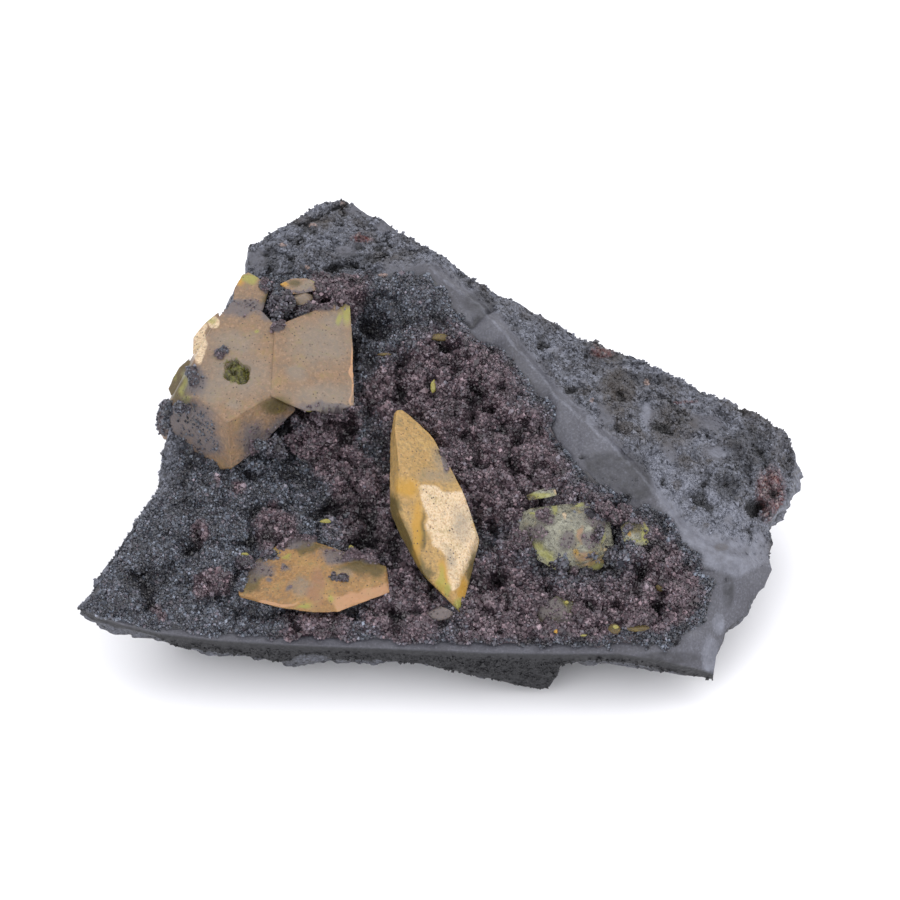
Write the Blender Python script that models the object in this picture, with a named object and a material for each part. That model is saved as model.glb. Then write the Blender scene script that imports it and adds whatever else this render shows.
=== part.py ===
"""Sturmanite specimen: yellow-brown crystals on a dark slab of hematite and hausmannite.

The slab leans forward on a flat patch of its underside. Its top face carries a shallow pocket
lined with a sugary crust, and the crystals stand in that pocket.

Every outline on the top face is given as it is seen from the front, looking down at it:
millimetres to the right of the middle, and millimetres up from the front edge. A third number
is the height in millimetres over the leaning plane of the top face.
"""

import bmesh
import bpy
import numpy as np
from math import cos, radians, sin
from mathutils import Vector
from mathutils.geometry import delaunay_2d_cdt

MM = 0.001

# How the slab sits, and where the outlines are seen from
FACE_TILT = radians(24.0)
FRONT_EDGE_HEIGHT = 6.0
SIGHT_ELEVATION = radians(42.0)
SIGHT_DISTANCE = 300.0
SIGHT_CENTRE = (1.2, 16.7)
MIDDLE_ON_TABLE = (0.76, 21.2)

# Outline of the slab, from the left tip along the front, up the right end and back along the skyline
FRONT = [(-29.9, 3.5), (-28.7, 2.6), (-26.3, 2.0), (-23.4, 1.2), (-21.8, 0.4), (-19.7, 0.0), (-16.3, -0.3),
         (-13.4, -0.8), (-12.2, -0.8), (-11.3, -0.3), (-10.2, -0.2), (-8.0, -0.8), (-3.0, -0.9), (-0.5, -1.2),
         (2.0, -1.8), (3.7, -2.3), (7.0, -2.8), (8.9, -3.2), (9.5, -3.0), (10.1, -2.1), (10.4, -1.2),
         (11.6, -0.9), (13.7, -0.9), (17.0, -1.2), (19.5, -1.7), (22.0, -2.2), (23.1, -2.4)]
RIGHT_END = [(23.4, -0.4), (24.2, 1.8), (25.8, 3.1), (26.2, 4.2), (27.4, 5.5), (28.0, 6.8), (27.7, 8.0),
             (28.0, 9.2), (27.7, 10.7), (28.6, 11.9), (29.4, 12.9), (29.9, 15.0), (30.0, 16.5), (29.2, 17.9)]
SKYLINE = [(28.2, 18.9), (26.3, 19.9), (23.0, 21.2), (19.1, 23.2), (14.9, 25.0), (12.0, 26.0), (9.1, 27.7),
           (5.3, 29.7), (3.7, 30.5), (1.6, 32.2), (-0.1, 33.2), (-2.8, 34.6), (-4.2, 35.7), (-5.7, 36.3),
           (-7.6, 37.7), (-9.7, 37.3), (-10.9, 36.2), (-12.6, 35.3), (-14.4, 34.2), (-15.5, 33.8)]
LEFT_EDGE = [(-15.7, 31.7), (-17.2, 28.8), (-19.7, 24.2), (-22.0, 18.8), (-22.8, 16.2), (-23.2, 13.3),
             (-24.7, 11.2), (-27.0, 7.7), (-28.5, 5.8), (-28.5, 4.9)]

# Where the top face ends above the undercut front strip
STRIP_TOP = [(-29.9, 3.7), (-28.0, 2.8), (-26.0, 2.2), (-23.0, 1.5), (-18.0, 0.9), (-11.3, 0.5), (-3.0, 0.2),
             (3.7, -0.1), (10.3, -0.2), (15.3, -0.2), (18.7, -0.7), (22.0, -1.5), (23.1, -1.8)]

# Edge of the crust, and the ridge that runs round the smooth band beside it
CRUST_EDGE = [(-28.6, 4.4), (-26.6, 3.0), (-23.0, 2.1), (-18.0, 1.6), (-11.3, 1.3), (-3.0, 1.0), (3.7, 0.7),
              (10.3, 0.6), (14.5, 0.6), (17.0, 1.0), (19.3, 1.9), (21.2, 3.3), (21.8, 5.0), (21.2, 6.4),
              (18.7, 9.2), (17.4, 11.3), (14.5, 13.2), (12.0, 14.9), (9.8, 17.4), (9.2, 20.4), (7.7, 22.5),
              (5.3, 24.8), (2.8, 26.2), (0.9, 29.2), (-0.7, 31.3), (-3.8, 31.1), (-7.2, 30.9), (-11.3, 31.5),
              (-14.0, 30.8), (-15.6, 28.9), (-18.2, 23.8), (-20.4, 18.6), (-21.4, 16.2), (-22.0, 13.2),
              (-23.6, 10.8), (-25.9, 7.6), (-27.3, 6.0)]
RIDGE = [(-0.5, 31.9), (1.6, 30.2), (3.7, 28.6), (5.3, 26.9), (8.7, 22.9), (10.3, 20.9), (13.7, 18.0),
         (17.0, 14.7), (20.3, 10.4), (22.4, 8.7), (25.3, 7.6), (27.3, 7.1)]
SHOULDER_LEDGE = [(15.9, 22.8), (19.2, 20.9), (20.5, 19.5), (23.1, 17.8)]
TOP_LEDGE = [(-11.3, 34.3), (-9.7, 36.6)]

# Height of the top face over its plane, place by place
RELIEF = [(-29.9, 3.7, 0.2), (-26.3, 5.0, 0.3), (-22.6, 10.8, 0.0), (-22.6, 16.7, -1.0), (-19.7, 22.5, -1.6),
          (-17.2, 28.8, -2.4), (-19.7, 12.5, 0.0), (-15.5, 12.5, -0.8), (-11.3, 10.8, -0.9),
          (-11.3, 15.0, -1.6), (-8.0, 18.3, -2.6), (-4.7, 22.1, -2.4), (-3.0, 25.8, -2.2), (-5.5, 27.9, -2.8),
          (0.3, 24.2, -1.6), (5.3, 20.0, -1.0), (7.8, 16.7, -0.8), (5.3, 10.4, -1.8), (4.5, 5.8, -1.6),
          (-0.5, 2.9, -0.8), (10.3, 4.2, -0.8), (17.0, 4.2, -0.1), (21.2, 4.6, 0.1), (13.7, 13.0, -0.4),
          (-11.3, 2.9, -0.5), (-19.7, 4.2, 0.3), (-11.3, 0.6, 0.0), (3.7, 0.0, 0.0), (15.3, 0.0, 0.0),
          (-21.3, 1.2, 0.2), (0.9, 29.2, -1.1), (5.3, 25.0, -1.0), (9.2, 20.7, -0.8), (9.8, 17.4, -0.9),
          (17.8, 10.8, -0.5), (21.2, 6.4, -0.2), (-0.5, 31.7, 0.0), (5.3, 26.7, 0.4), (10.3, 20.7, 0.6),
          (13.7, 17.9, 0.8), (17.8, 13.8, 0.6), (22.0, 8.8, 0.4), (25.3, 7.5, -0.6), (-1.3, 33.6, -3.0),
          (5.3, 29.7, -4.2), (12.0, 26.0, -4.8), (19.1, 23.2, -4.8), (24.9, 20.5, -4.6), (29.2, 17.9, -5.4),
          (18.7, 18.3, -1.4), (23.7, 15.8, -1.8), (25.3, 11.7, -1.8), (27.8, 13.3, -3.6), (30.0, 15.8, -6.0),
          (27.8, 8.8, -3.6), (28.0, 6.7, -4.0), (25.8, 3.2, -3.4), (23.4, -0.4, -3.0), (23.1, -2.2, -3.2),
          (23.2, 4.2, -1.2), (22.0, 0.8, -1.0), (-11.3, 33.3, -1.8), (-8.0, 36.5, -3.6), (-4.2, 34.2, -2.6),
          (-14.5, 32.3, -3.0), (-9.5, 37.2, -4.4), (-15.5, 33.6, -4.4), (-3.0, 31.2, -0.9),
          (-7.2, 30.8, -1.1), (-12.2, 30.6, -1.8)]
RELIEF_ROUNDING = 0.8
STRIP_FALL = 1.6

# Round pits, as place, radius and depth, and the lumps of crust that have grown over the crystals
PITS = [(27.0, 11.8, 1.0, 1.4), (12.2, 16.0, 0.6, 0.5), (5.0, 10.2, 1.2, 1.2), (5.3, 5.4, 1.1, 1.2),
        (-7.7, 18.6, 1.6, 1.0), (-5.4, 27.4, 1.5, 1.0), (-1.0, 12.2, 1.0, 0.8), (13.0, 24.0, 0.9, 0.5)]
CRUST_LUMPS = [(-12.6, 29.3, 1.4, 2.8), (-8.4, 29.9, 1.5, 2.4), (-10.4, 18.0, 2.0, 2.0),
               (-12.8, 17.0, 1.4, 1.4), (16.9, 3.0, 1.4, 0.8), (0.6, 19.0, 2.2, 0.9), (5.4, 22.0, 1.8, 0.8),
               (-4.0, 15.0, 1.6, 0.8)]

# Crystals: mineral, then for each convex lobe its faces and its loose corners. A face is three corners
# that set its plane and others that are seen on it.
PAIR_FRONT = (-17.4, 19.0, 5.0)
PAIR_NOTCH = (-13.8, 21.2, 4.6)
PAIR_SIDE = (-19.9, 21.1, 4.34)
PAIR_FOOT = (-17.0, 15.1, 1.2)
PAIR_LEFT = ([(PAIR_FRONT, PAIR_NOTCH, (-17.0, 29.1, 2.4), (-19.9, 21.1), (-20.2, 24.1), (-19.7, 25.2),
               (-18.1, 27.8), (-14.5, 28.3), (-14.0, 27.1)),
              (PAIR_FRONT, PAIR_SIDE, PAIR_FOOT, (-18.1, 15.0), (-19.8, 15.6), (-21.9, 17.0), (-22.8, 17.8),
               (-22.8, 19.8), (-22.0, 21.0)),
              (PAIR_FRONT, PAIR_NOTCH, PAIR_FOOT, (-11.6, 20.0), (-15.5, 16.2))],
             [(-20.0, 25.0, -3.0), (-20.5, 20.0, -2.8), (-15.0, 20.0, -2.8), (-14.5, 27.5, -3.2)])
PAIR_RIGHT = ([(PAIR_NOTCH, (-6.8, 20.4, 3.2), (-7.1, 28.8, 1.6), (-13.0, 26.8), (-10.0, 28.4), (-7.2, 25.2),
                (-6.8, 22.4), (-7.8, 20.1), (-10.8, 19.9))],
              [(-12.5, 21.5, -2.8), (-7.6, 21.5, -3.0), (-7.6, 27.0, -3.2), (-13.0, 27.0, -3.2)])
PAIR_PRISM = ([], [(-16.8, 29.2, 2.2), (-16.8, 30.2, 1.8), (-16.1, 31.3, 1.2), (-15.6, 31.5, 1.0),
                   (-14.8, 31.1, 1.2), (-13.8, 30.2, 1.4), (-14.5, 28.2, 2.6), (-16.0, 29.0, -3.2),
                   (-14.5, 29.0, -3.0), (-15.6, 30.5, -3.0)])
PAIR_PALE_LOBE = ([], [(-18.1, 28.2, 1.4), (-19.3, 27.2, 1.2), (-20.2, 26.1, 1.2), (-20.3, 24.7, 1.4),
                       (-19.2, 24.2, 2.0), (-17.6, 26.7, 2.2), (-19.5, 25.5, -2.5), (-18.5, 27.0, -2.6),
                       (-18.0, 26.0, -3.0)])
PAIR_GREEN_LOBE = ([], [(-20.5, 24.4, 0.6), (-21.4, 23.6, 0.2), (-21.9, 22.8, 0.0), (-22.3, 21.8, -0.2),
                        (-22.1, 21.2, 0.0), (-20.9, 21.7, 1.2), (-20.2, 22.9, 1.4), (-21.0, 23.0, -2.2),
                        (-20.6, 22.2, -2.4)])
CENTER_FRONT = (-1.6, 13.8, 4.2)
CENTER_TIP = (-3.2, 20.1, 1.4)
CENTER_FOOT = (1.5, 4.9, 1.6)
CENTER = ([(CENTER_TIP, CENTER_FRONT, (2.2, 13.4, 2.2), (-2.8, 20.1), (-2.1, 19.6), (-0.4, 18.0), (0.1, 17.2),
            (0.8, 16.2), (-3.4, 18.5), (-3.1, 15.6)),
           (CENTER_FRONT, CENTER_FOOT, (-3.2, 11.8, 3.0), (-0.9, 6.3)),
           (CENTER_FRONT, (2.2, 13.4, 2.2), CENTER_FOOT, (2.9, 11.1), (3.4, 10.0))],
          [(-3.5, 19.8, 1.2), (-3.8, 17.8, 1.6), (-3.8, 13.5, 2.4), (-3.8, 11.6, 1.0), (-2.9, 9.4, 0.8),
           (-1.8, 7.4, 0.6), (-0.9, 6.1, 0.6), (1.2, 4.2, 0.9), (2.0, 3.1, 0.5), (2.2, 3.3, 0.4),
           (3.0, 7.0, 0.2), (3.3, 8.2, 0.3), (3.7, 9.2, 0.4), (-2.0, 18.0, -2.2), (0.0, 15.0, -3.0),
           (0.0, 10.0, -3.5), (2.0, 8.0, -3.0), (1.5, 5.5, -2.6), (-2.5, 12.0, -3.0)])
LOW_FRONT = (-9.1, 5.2, 3.0)
LOW_BACK = (-9.3, 8.0, 1.7)
LOWER_LEFT = ([(LOW_FRONT, LOW_BACK, (-16.4, 4.6, 1.54), (-12.3, 3.9), (-10.4, 3.8), (-16.5, 5.2),
                (-16.5, 6.0), (-14.7, 7.7), (-13.2, 8.8), (-11.9, 9.2), (-10.3, 9.1)),
               (LOW_FRONT, LOW_BACK, (-4.2, 5.7, 1.6), (-8.9, 4.4), (-4.1, 7.0), (-6.1, 6.9), (-7.4, 7.5)),
               ((-8.9, 4.4, 3.3), (-4.2, 5.7, 1.6), (-8.1, 3.2, 2.2), (-3.8, 4.8))],
              [(-16.3, 4.4, 1.2), (-13.2, 3.6, 2.2), (-10.2, 3.2, 2.6), (-15.0, 6.0, -2.0),
               (-10.0, 5.0, -2.5), (-5.5, 6.5, -2.0), (-11.0, 8.0, -2.5), (-7.0, 8.0, -2.5)])
RIGHT_GLASSY = ([], [(6.3, 10.0, -1.0), (6.6, 11.2, -0.6), (7.8, 11.8, 0.1), (9.9, 12.1, 0.3),
                     (12.4, 12.4, 0.4), (13.8, 12.0, 0.3), (14.5, 11.0, 0.3), (14.7, 9.4, 0.3),
                     (15.1, 7.8, -0.3), (12.7, 6.0, -0.6), (10.2, 6.6, -0.4), (8.5, 7.5, -0.4),
                     (7.3, 8.7, -0.6), (10.3, 10.8, 1.7), (13.0, 10.2, 1.5), (12.7, 8.2, 1.4),
                     (9.1, 9.6, 1.3), (9.0, 9.0, -3.5), (13.6, 9.0, -3.0), (12.0, 11.0, -3.2),
                     (11.0, 7.5, -3.0)])
SMALL_RIGHT = ([], [(15.4, 10.3, 0.6), (16.0, 10.8, 0.7), (17.4, 10.7, 0.5), (18.0, 9.8, 0.3),
                    (17.7, 8.8, 0.4), (16.6, 8.6, 0.9), (15.7, 9.1, 1.0), (16.5, 9.9, 1.5), (16.6, 9.4, -2.2)])
SLIVER = ([], [(7.5, 12.9, 0.2), (9.1, 13.5, 0.3), (10.0, 13.5, 0.4), (10.1, 12.9, 0.7), (9.1, 12.7, 0.9),
               (7.8, 12.5, 0.7), (8.8, 13.1, -1.8)])
SMALL_TOP = ([], [(-13.0, 30.5, 1.8), (-11.9, 31.0, 1.6), (-10.8, 31.0, 1.6), (-9.8, 30.7, 1.6),
                  (-10.0, 30.0, 2.2), (-10.9, 29.8, 2.4), (-11.9, 29.7, 2.4), (-11.5, 30.3, -2.6),
                  (-10.6, 30.3, -2.6)])
GLASSY_FRONT = ([], [(8.7, 3.7, 0.2), (10.3, 4.7, 0.3), (12.0, 4.2, 0.2), (12.7, 2.7, 0.0),
                     (11.6, 1.7, -0.2), (9.7, 1.3, -0.2), (8.1, 1.9, -0.2), (10.3, 2.9, 0.9),
                     (9.5, 2.8, -2.6), (11.0, 2.8, -2.6)])
CRYSTALS = {
    "crystal_pair_upper_left": ("sturmanite", [PAIR_LEFT, PAIR_RIGHT, PAIR_PRISM, PAIR_PALE_LOBE,
                                               PAIR_GREEN_LOBE]),
    "crystal_center": ("sturmanite", [CENTER]),
    "crystal_lower_left": ("sturmanite", [LOWER_LEFT]),
    "crystal_right_glassy": ("glassy", [RIGHT_GLASSY]),
    "crystal_small_right": ("olive", [SMALL_RIGHT]),
    "crystal_sliver": ("olive", [SLIVER]),
    "crystal_small_top": ("olive", [SMALL_TOP]),
    "crystal_glassy_front": ("glassy", [GLASSY_FRONT]),
}

# The crust: its thickness, how deep its creases lie, its inset in the bed, and its heads of grains
CRUST_THICKNESS = 1.2
CREASE_DEPTH = 0.4
CRUST_RIM_INSET = 0.6
CLUSTER_SIZE = 3.0
CLUSTER_HEIGHT = 1.25
SMALL_CLUSTER_SHARE = 0.4
SOCKET_GAP = 0.3

# The bare stone: the step behind the ridge, the two ledges, and the lumps of its rough parts
RIDGE_STEP = 0.5
SHOULDER_LEDGE_HEIGHT = 0.5
TOP_LEDGE_HEIGHT = 0.6
LEDGE_WIDTH = 1.1
ROUGH_TOP_FROM = 31.5
LUMP_SIZE = 2.6
LUMP_HEIGHT = 0.45

# Tolerances of the modelling: points on a line, merged corners, and how flat a crystal's face is
ON_LINE = 0.01
CORNER_MERGE = 0.05
FLAT_ENOUGH = radians(2.0)

# Mesh spacing on the top face, and the rings of the walls below it
EDGE_SPACING = 1.5
CRUST_SPACING = 1.15
STONE_SPACING = 1.5
WALL_RINGS = (0.12, 0.3, 0.5, 0.72, 0.9, 1.0)
WALL_BULGE = 0.9
WALL_ROUGHNESS = 1.0
WALL_LUMP_SIZE = 4.6
BENCH_HEIGHT = 7.0
BENCH_DEPTH = 1.2
BASE_SHRINK = 0.74
BASE_CENTRE = (-0.5, 21.0)

# Colour, roughness and metallic value of each mineral
MINERALS = {
    "ore": ((0.045, 0.047, 0.055), 0.5, 0.35),
    "crust": ((0.050, 0.032, 0.036), 0.45, 0.2),
    "sturmanite": ((0.42, 0.23, 0.07), 0.5, 0.0),
    "glassy": ((0.17, 0.17, 0.09), 0.25, 0.0),
    "olive": ((0.22, 0.22, 0.03), 0.35, 0.0),
}

ACROSS = Vector((1.0, 0.0, 0.0))
UP_SLOPE = Vector((0.0, cos(FACE_TILT), sin(FACE_TILT)))
FACE_NORMAL = Vector((0.0, -sin(FACE_TILT), cos(FACE_TILT)))
PLANE_POINT = Vector((0.0, 0.0, FRONT_EDGE_HEIGHT))
SIGHT = Vector((0.0, cos(SIGHT_ELEVATION), -sin(SIGHT_ELEVATION)))
SEEN_UP = Vector((0.0, sin(SIGHT_ELEVATION), cos(SIGHT_ELEVATION)))
SEEN_CENTRE = PLANE_POINT + ACROSS * SIGHT_CENTRE[0] + UP_SLOPE * (SIGHT_CENTRE[1] / UP_SLOPE.dot(SEEN_UP))
EYE = SEEN_CENTRE - SIGHT * SIGHT_DISTANCE


def sight_lines(x, y):
    """Directions from the eye to points seen at x, y; their length along the sight is the distance."""
    steps = np.stack([x - SIGHT_CENTRE[0], y - SIGHT_CENTRE[1]], axis=-1)
    return SIGHT_DISTANCE * np.array(SIGHT) + steps @ np.array([ACROSS, SEEN_UP])


def place(x, y, height):
    """Points seen at x, y that lie at a height over the plane of the top face, in mm."""
    lines = sight_lines(np.asarray(x, float), np.asarray(y, float))
    normal = np.array(FACE_NORMAL)
    reach = (height - np.array(EYE - PLANE_POINT) @ normal) / (lines @ normal)
    return np.array(EYE) + lines * reach[..., None] - np.array([*MIDDLE_ON_TABLE, 0.0])


def closed_distance(loop, x, y):
    """Distance of x, y from a closed loop, positive inside it."""
    distance = line_distance(loop + loop[:1], x, y)
    inside = np.zeros(x.shape, bool)
    for (ax, ay), (bx, by) in zip(loop, loop[1:] + loop[:1]):
        spans = (ay > y) != (by > y)
        rise = by - ay if by != ay else 1.0
        inside ^= spans & (x < ax + (bx - ax) * (y - ay) / rise)
    return np.where(inside, distance, -distance)


def line_distance(line, x, y):
    """Distance of x, y from an open line of points."""
    nearest = np.full(x.shape, 1e9)
    for (ax, ay), (bx, by) in zip(line, line[1:]):
        length = (bx - ax) ** 2 + (by - ay) ** 2
        along = np.clip(((x - ax) * (bx - ax) + (y - ay) * (by - ay)) / length, 0.0, 1.0)
        nearest = np.minimum(nearest, np.hypot(x - ax - along * (bx - ax), y - ay - along * (by - ay)))
    return nearest


def smooth_step(value, low, high):
    """0 below low, 1 above high, and an even S between them."""
    t = np.clip((value - low) / (high - low), 0.0, 1.0)
    return t * t * (3.0 - 2.0 * t)


def relief_weights():
    """Weights of the relief's points, so that the surface runs through each of them."""
    table = np.array(RELIEF)
    apart = np.hypot(table[:, None, 0] - table[None, :, 0], table[:, None, 1] - table[None, :, 1])
    return np.linalg.solve(np.hypot(apart, RELIEF_ROUNDING), table[:, 2])


def relief(x, y):
    """Height of the slab's broad form: the sum over the relief's points of weight times distance."""
    table = np.array(RELIEF)
    apart = np.hypot(x[..., None] - table[:, 0], y[..., None] - table[:, 1])
    strip_x, strip_y = np.array(STRIP_TOP).T
    below_strip = np.maximum(np.interp(x, strip_x, strip_y) - y, 0.0)
    return np.hypot(apart, RELIEF_ROUNDING) @ relief_weights() - STRIP_FALL * below_strip


def noise(x, y, size, seed):
    """Smooth noise between -1 and 1, with one random value at each corner of a square grid."""
    table = np.random.default_rng(seed).uniform(-1.0, 1.0, (64, 64))
    column = np.floor(x / size).astype(int)
    row = np.floor(y / size).astype(int)
    fx = smooth_step(x / size - column, 0.0, 1.0)
    fy = smooth_step(y / size - row, 0.0, 1.0)
    left = table[column % 64, row % 64] * (1 - fy) + table[column % 64, (row + 1) % 64] * fy
    right = table[(column + 1) % 64, row % 64] * (1 - fy) + table[(column + 1) % 64, (row + 1) % 64] * fy
    return left * (1 - fx) + right * fx


def clusters(x, y, size, seed):
    """Rounded heads that meet in creases: 1 at the middle of a head, 0 where it meets the next."""
    shift = np.random.default_rng(seed).uniform(0.15, 0.85, (64, 64, 2))
    column = np.floor(x / size).astype(int)
    row = np.floor(y / size).astype(int)
    nearest = np.full(x.shape, 9.0)
    for i in (-1, 0, 1):
        for j in (-1, 0, 1):
            middle = shift[(column + i) % 64, (row + j) % 64]
            dx = column + i + middle[..., 0] - x / size
            dy = row + j + middle[..., 1] - y / size
            nearest = np.minimum(nearest, dx * dx + dy * dy)
    return np.clip(1.0 - nearest * 1.6, 0.0, 1.0)


def mounds(table, x, y):
    """Height of a table of round mounds, or depth of a table of round pits."""
    height = np.zeros(x.shape)
    for mx, my, radius, high in table:
        height += high * np.clip(1.0 - ((x - mx) ** 2 + (y - my) ** 2) / radius ** 2, 0.0, 1.0)
    return height


def behind_ridge(x, y):
    """Distance past the ridge, away from the crust."""
    beyond = closed_distance(RIDGE + [(34.0, 7.0), (34.0, 44.0), (-0.5, 44.0)], x, y)
    return np.maximum(beyond, 0.0)


def stone_height(x, y):
    """Height of the bare stone: its form, the step down behind the ridge, ledges, lumps and pits."""
    past = behind_ridge(x, y)
    rough = np.maximum(smooth_step(past, 0.2, 1.2), smooth_step(y, ROUGH_TOP_FROM, ROUGH_TOP_FROM + 1.5))
    lumps = noise(x, y, LUMP_SIZE, 3) + 0.5 * clusters(x, y, LUMP_SIZE * 0.7, 4)
    height = relief(x, y) - mounds(PITS, x, y) + LUMP_HEIGHT * rough * lumps
    height -= RIDGE_STEP * smooth_step(past, 0.0, 0.5)
    for ledge, high in ((SHOULDER_LEDGE, SHOULDER_LEDGE_HEIGHT), (TOP_LEDGE, TOP_LEDGE_HEIGHT)):
        height += high * smooth_step(LEDGE_WIDTH - line_distance(ledge, x, y), 0.0, LEDGE_WIDTH)
    return height


def bed_form(x, y):
    """The broad form that the crust follows, with its pits."""
    return relief(x, y) - mounds(PITS, x, y) - CREASE_DEPTH


def crust_height(x, y):
    """Height of the crust's upper side: heads of crystal grains over the broad form."""
    heads = clusters(x, y, CLUSTER_SIZE, 7) + SMALL_CLUSTER_SHARE * clusters(x, y, CLUSTER_SIZE * 0.5, 8)
    return bed_form(x, y) + CLUSTER_HEIGHT * heads + mounds(CRUST_LUMPS, x, y)


def floor_height(x, y):
    """Height of the stone under the crust, which swells a little under each large head."""
    return bed_form(x, y) - CRUST_THICKNESS + 0.4 * CLUSTER_HEIGHT * clusters(x, y, CLUSTER_SIZE, 7)


def resample(line, spacing):
    """Points about one spacing apart along a line, its own points among them."""
    points = []
    for start, end in zip(line, line[1:]):
        count = max(1, round(np.hypot(end[0] - start[0], end[1] - start[1]) / spacing))
        points += [(start[0] + (end[0] - start[0]) * k / count, start[1] + (end[1] - start[1]) * k / count)
                   for k in range(count)]
    return points + [line[-1]]


def inset(loop, distance):
    """A closed loop, run anticlockwise, moved inwards."""
    points = np.array(loop)
    along = np.roll(points, -1, axis=0) - np.roll(points, 1, axis=0)
    inward = np.stack([-along[:, 1], along[:, 0]], axis=1) / np.linalg.norm(along, axis=1)[:, None]
    return [tuple(point) for point in points + inward * distance]


def scatter(spacing, seed):
    """A loose triangular grid of points over the whole outline."""
    rng = np.random.default_rng(seed)
    rows = np.arange(-4.0, 40.0, spacing * 0.87)
    x, y = np.meshgrid(np.arange(-31.0, 31.0, spacing), rows)
    x[::2] += spacing * 0.5
    grid = np.column_stack([x.ravel(), y.ravel()])
    return grid + rng.uniform(-0.22, 0.22, grid.shape) * spacing


def top_net():
    """Triangles over the outline as it is seen, with edges along every rim, ledge and ridge."""
    outline = resample(FRONT + RIGHT_END + SKYLINE + LEFT_EDGE + FRONT[:1], EDGE_SPACING)[:-1]
    edge = resample(CRUST_EDGE + CRUST_EDGE[:1], CRUST_SPACING)[:-1]
    rim = inset(edge, CRUST_RIM_INSET)
    creases = [resample(line, EDGE_SPACING) for line in (STRIP_TOP[1:-1], RIDGE, SHOULDER_LEDGE, TOP_LEDGE)]
    fine = scatter(CRUST_SPACING, 11)
    coarse = scatter(STONE_SPACING, 12)
    in_crust = closed_distance(rim, *fine.T) > CRUST_SPACING * 0.45
    in_stone = closed_distance(outline, *coarse.T) > STONE_SPACING * 0.5
    in_stone &= closed_distance(edge, *coarse.T) < -STONE_SPACING * 0.45
    for crease in creases:
        in_stone &= line_distance(crease, *coarse.T) > STONE_SPACING * 0.4
    points = outline + edge + rim
    edges = []
    for first, count in ((0, len(outline)), (len(outline), len(edge)), (len(outline) + len(edge), len(rim))):
        edges += [(first + k, first + (k + 1) % count) for k in range(count)]
    for crease in creases:
        edges += [(len(points) + k, len(points) + k + 1) for k in range(len(crease) - 1)]
        points = points + crease
    points = [Vector(point) for point in points + [*fine[in_crust], *coarse[in_stone]]]
    net = delaunay_2d_cdt(points, edges, [], 1, 1e-4)
    found = {source: k for k, sources in enumerate(net[3]) for source in sources}
    outline_order = [found[k] for k in range(len(outline))]
    return np.array([tuple(point) for point in net[0]]), net[2], outline_order, rim


def finished(net, name):
    """Turn a bmesh in millimetres into a mesh in metres with its faces pointing out."""
    bmesh.ops.recalc_face_normals(net, faces=net.faces)
    bmesh.ops.scale(net, vec=(MM, MM, MM), verts=net.verts)
    mesh = bpy.data.meshes.new(name)
    net.to_mesh(mesh)
    net.free()
    return mesh


def wall_ring(top, share):
    """One ring of the walls, a share of the way from the top face's edge to the table.

    Further down, the ring loses the edge's small turns, draws in towards the base, and takes the
    bulge, the broken lumps and, at the back, the bench that the slab was split along.
    """
    eased = sum(np.roll(top, shift, axis=0) for shift in range(-3, 4)) / 7.0
    ring = top + (eased - top) * smooth_step(share, 0.0, 0.6)
    height = top[:, 2] * (1.0 - share)
    middle = np.array(BASE_CENTRE) - MIDDLE_ON_TABLE
    reach = ring[:, :2] - middle
    outward = reach / np.linalg.norm(reach, axis=1)[:, None]
    along = ring[:, 0] - ring[:, 1]
    lumps = noise(along, height, WALL_LUMP_SIZE, 20) + 0.45 * noise(along, height, WALL_LUMP_SIZE * 0.45, 21)
    at_back = smooth_step(ring[:, 1], -14.0, 4.0)
    push = (WALL_BULGE * at_back + WALL_ROUGHNESS * lumps) * np.sin(np.pi * share) ** 0.6
    push += BENCH_DEPTH * at_back * smooth_step(BENCH_HEIGHT - height, -0.8, 0.8) * (1.0 - share) ** 0.5
    plan = middle + reach * (1.0 - share ** 1.3 * (1.0 - BASE_SHRINK)) + outward * push[:, None]
    return np.column_stack([plan, height])


def stone_mesh(points, triangles, outline_order, rim):
    """The slab: its top face with the crust's bed sunk in it, walls ring by ring, and a flat base."""
    x, y = points.T
    in_bed = closed_distance(rim, x, y) > -ON_LINE
    net = bmesh.new()
    heights = np.where(in_bed, floor_height(x, y), stone_height(x, y))
    corners = [net.verts.new(point) for point in place(x, y, heights)]
    for triangle in triangles:
        net.faces.new([corners[k] for k in triangle])
    ring = [corners[k] for k in outline_order]
    top = np.array([tuple(corner.co) for corner in ring])
    for share in WALL_RINGS:
        lower = [net.verts.new(point) for point in wall_ring(top, share)]
        for k in range(len(ring)):
            net.faces.new((ring[k - 1], ring[k], lower[k], lower[k - 1]))
        ring = lower
    net.faces.new(ring)
    return finished(net, "rock_matrix")


def crust_mesh(points, triangles, rim):
    """The crust: its upper side, and the same net thickened down to just above its bed."""
    x, y = points.T
    inside = closed_distance(rim, x, y) > -ON_LINE
    upper = place(x, y, crust_height(x, y))
    lower = place(x, y, floor_height(x, y) + SOCKET_GAP)
    net = bmesh.new()
    corners = {k: net.verts.new(upper[k]) for k in np.flatnonzero(inside)}
    for triangle in triangles:
        middle = points[triangle].mean(axis=0, keepdims=True)
        if closed_distance(rim, *middle.T)[0] > 0.0:
            net.faces.new([corners[k] for k in triangle])
    shell = bmesh.ops.extrude_face_region(net, geom=net.faces[:], use_keep_orig=True)
    sunk = [part for part in shell["geom"] if isinstance(part, bmesh.types.BMVert)]
    places = {tuple(corner.co): k for k, corner in corners.items()}
    for vertex in sunk:
        vertex.co = lower[places[tuple(vertex.co)]]
    return finished(net, "druse_crust")


def facet(a, b, c, *others):
    """Corners of one flat face: three that set its plane, and others that are seen on it."""
    anchors = [place(*corner) for corner in (a, b, c)]
    normal = np.cross(anchors[1] - anchors[0], anchors[2] - anchors[0])
    eye = np.array(EYE) - [*MIDDLE_ON_TABLE, 0.0]
    lines = [sight_lines(np.float64(x), np.float64(y)) for x, y in others]
    return anchors + [eye + line * ((anchors[0] - eye) @ normal / (line @ normal)) for line in lines]


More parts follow.
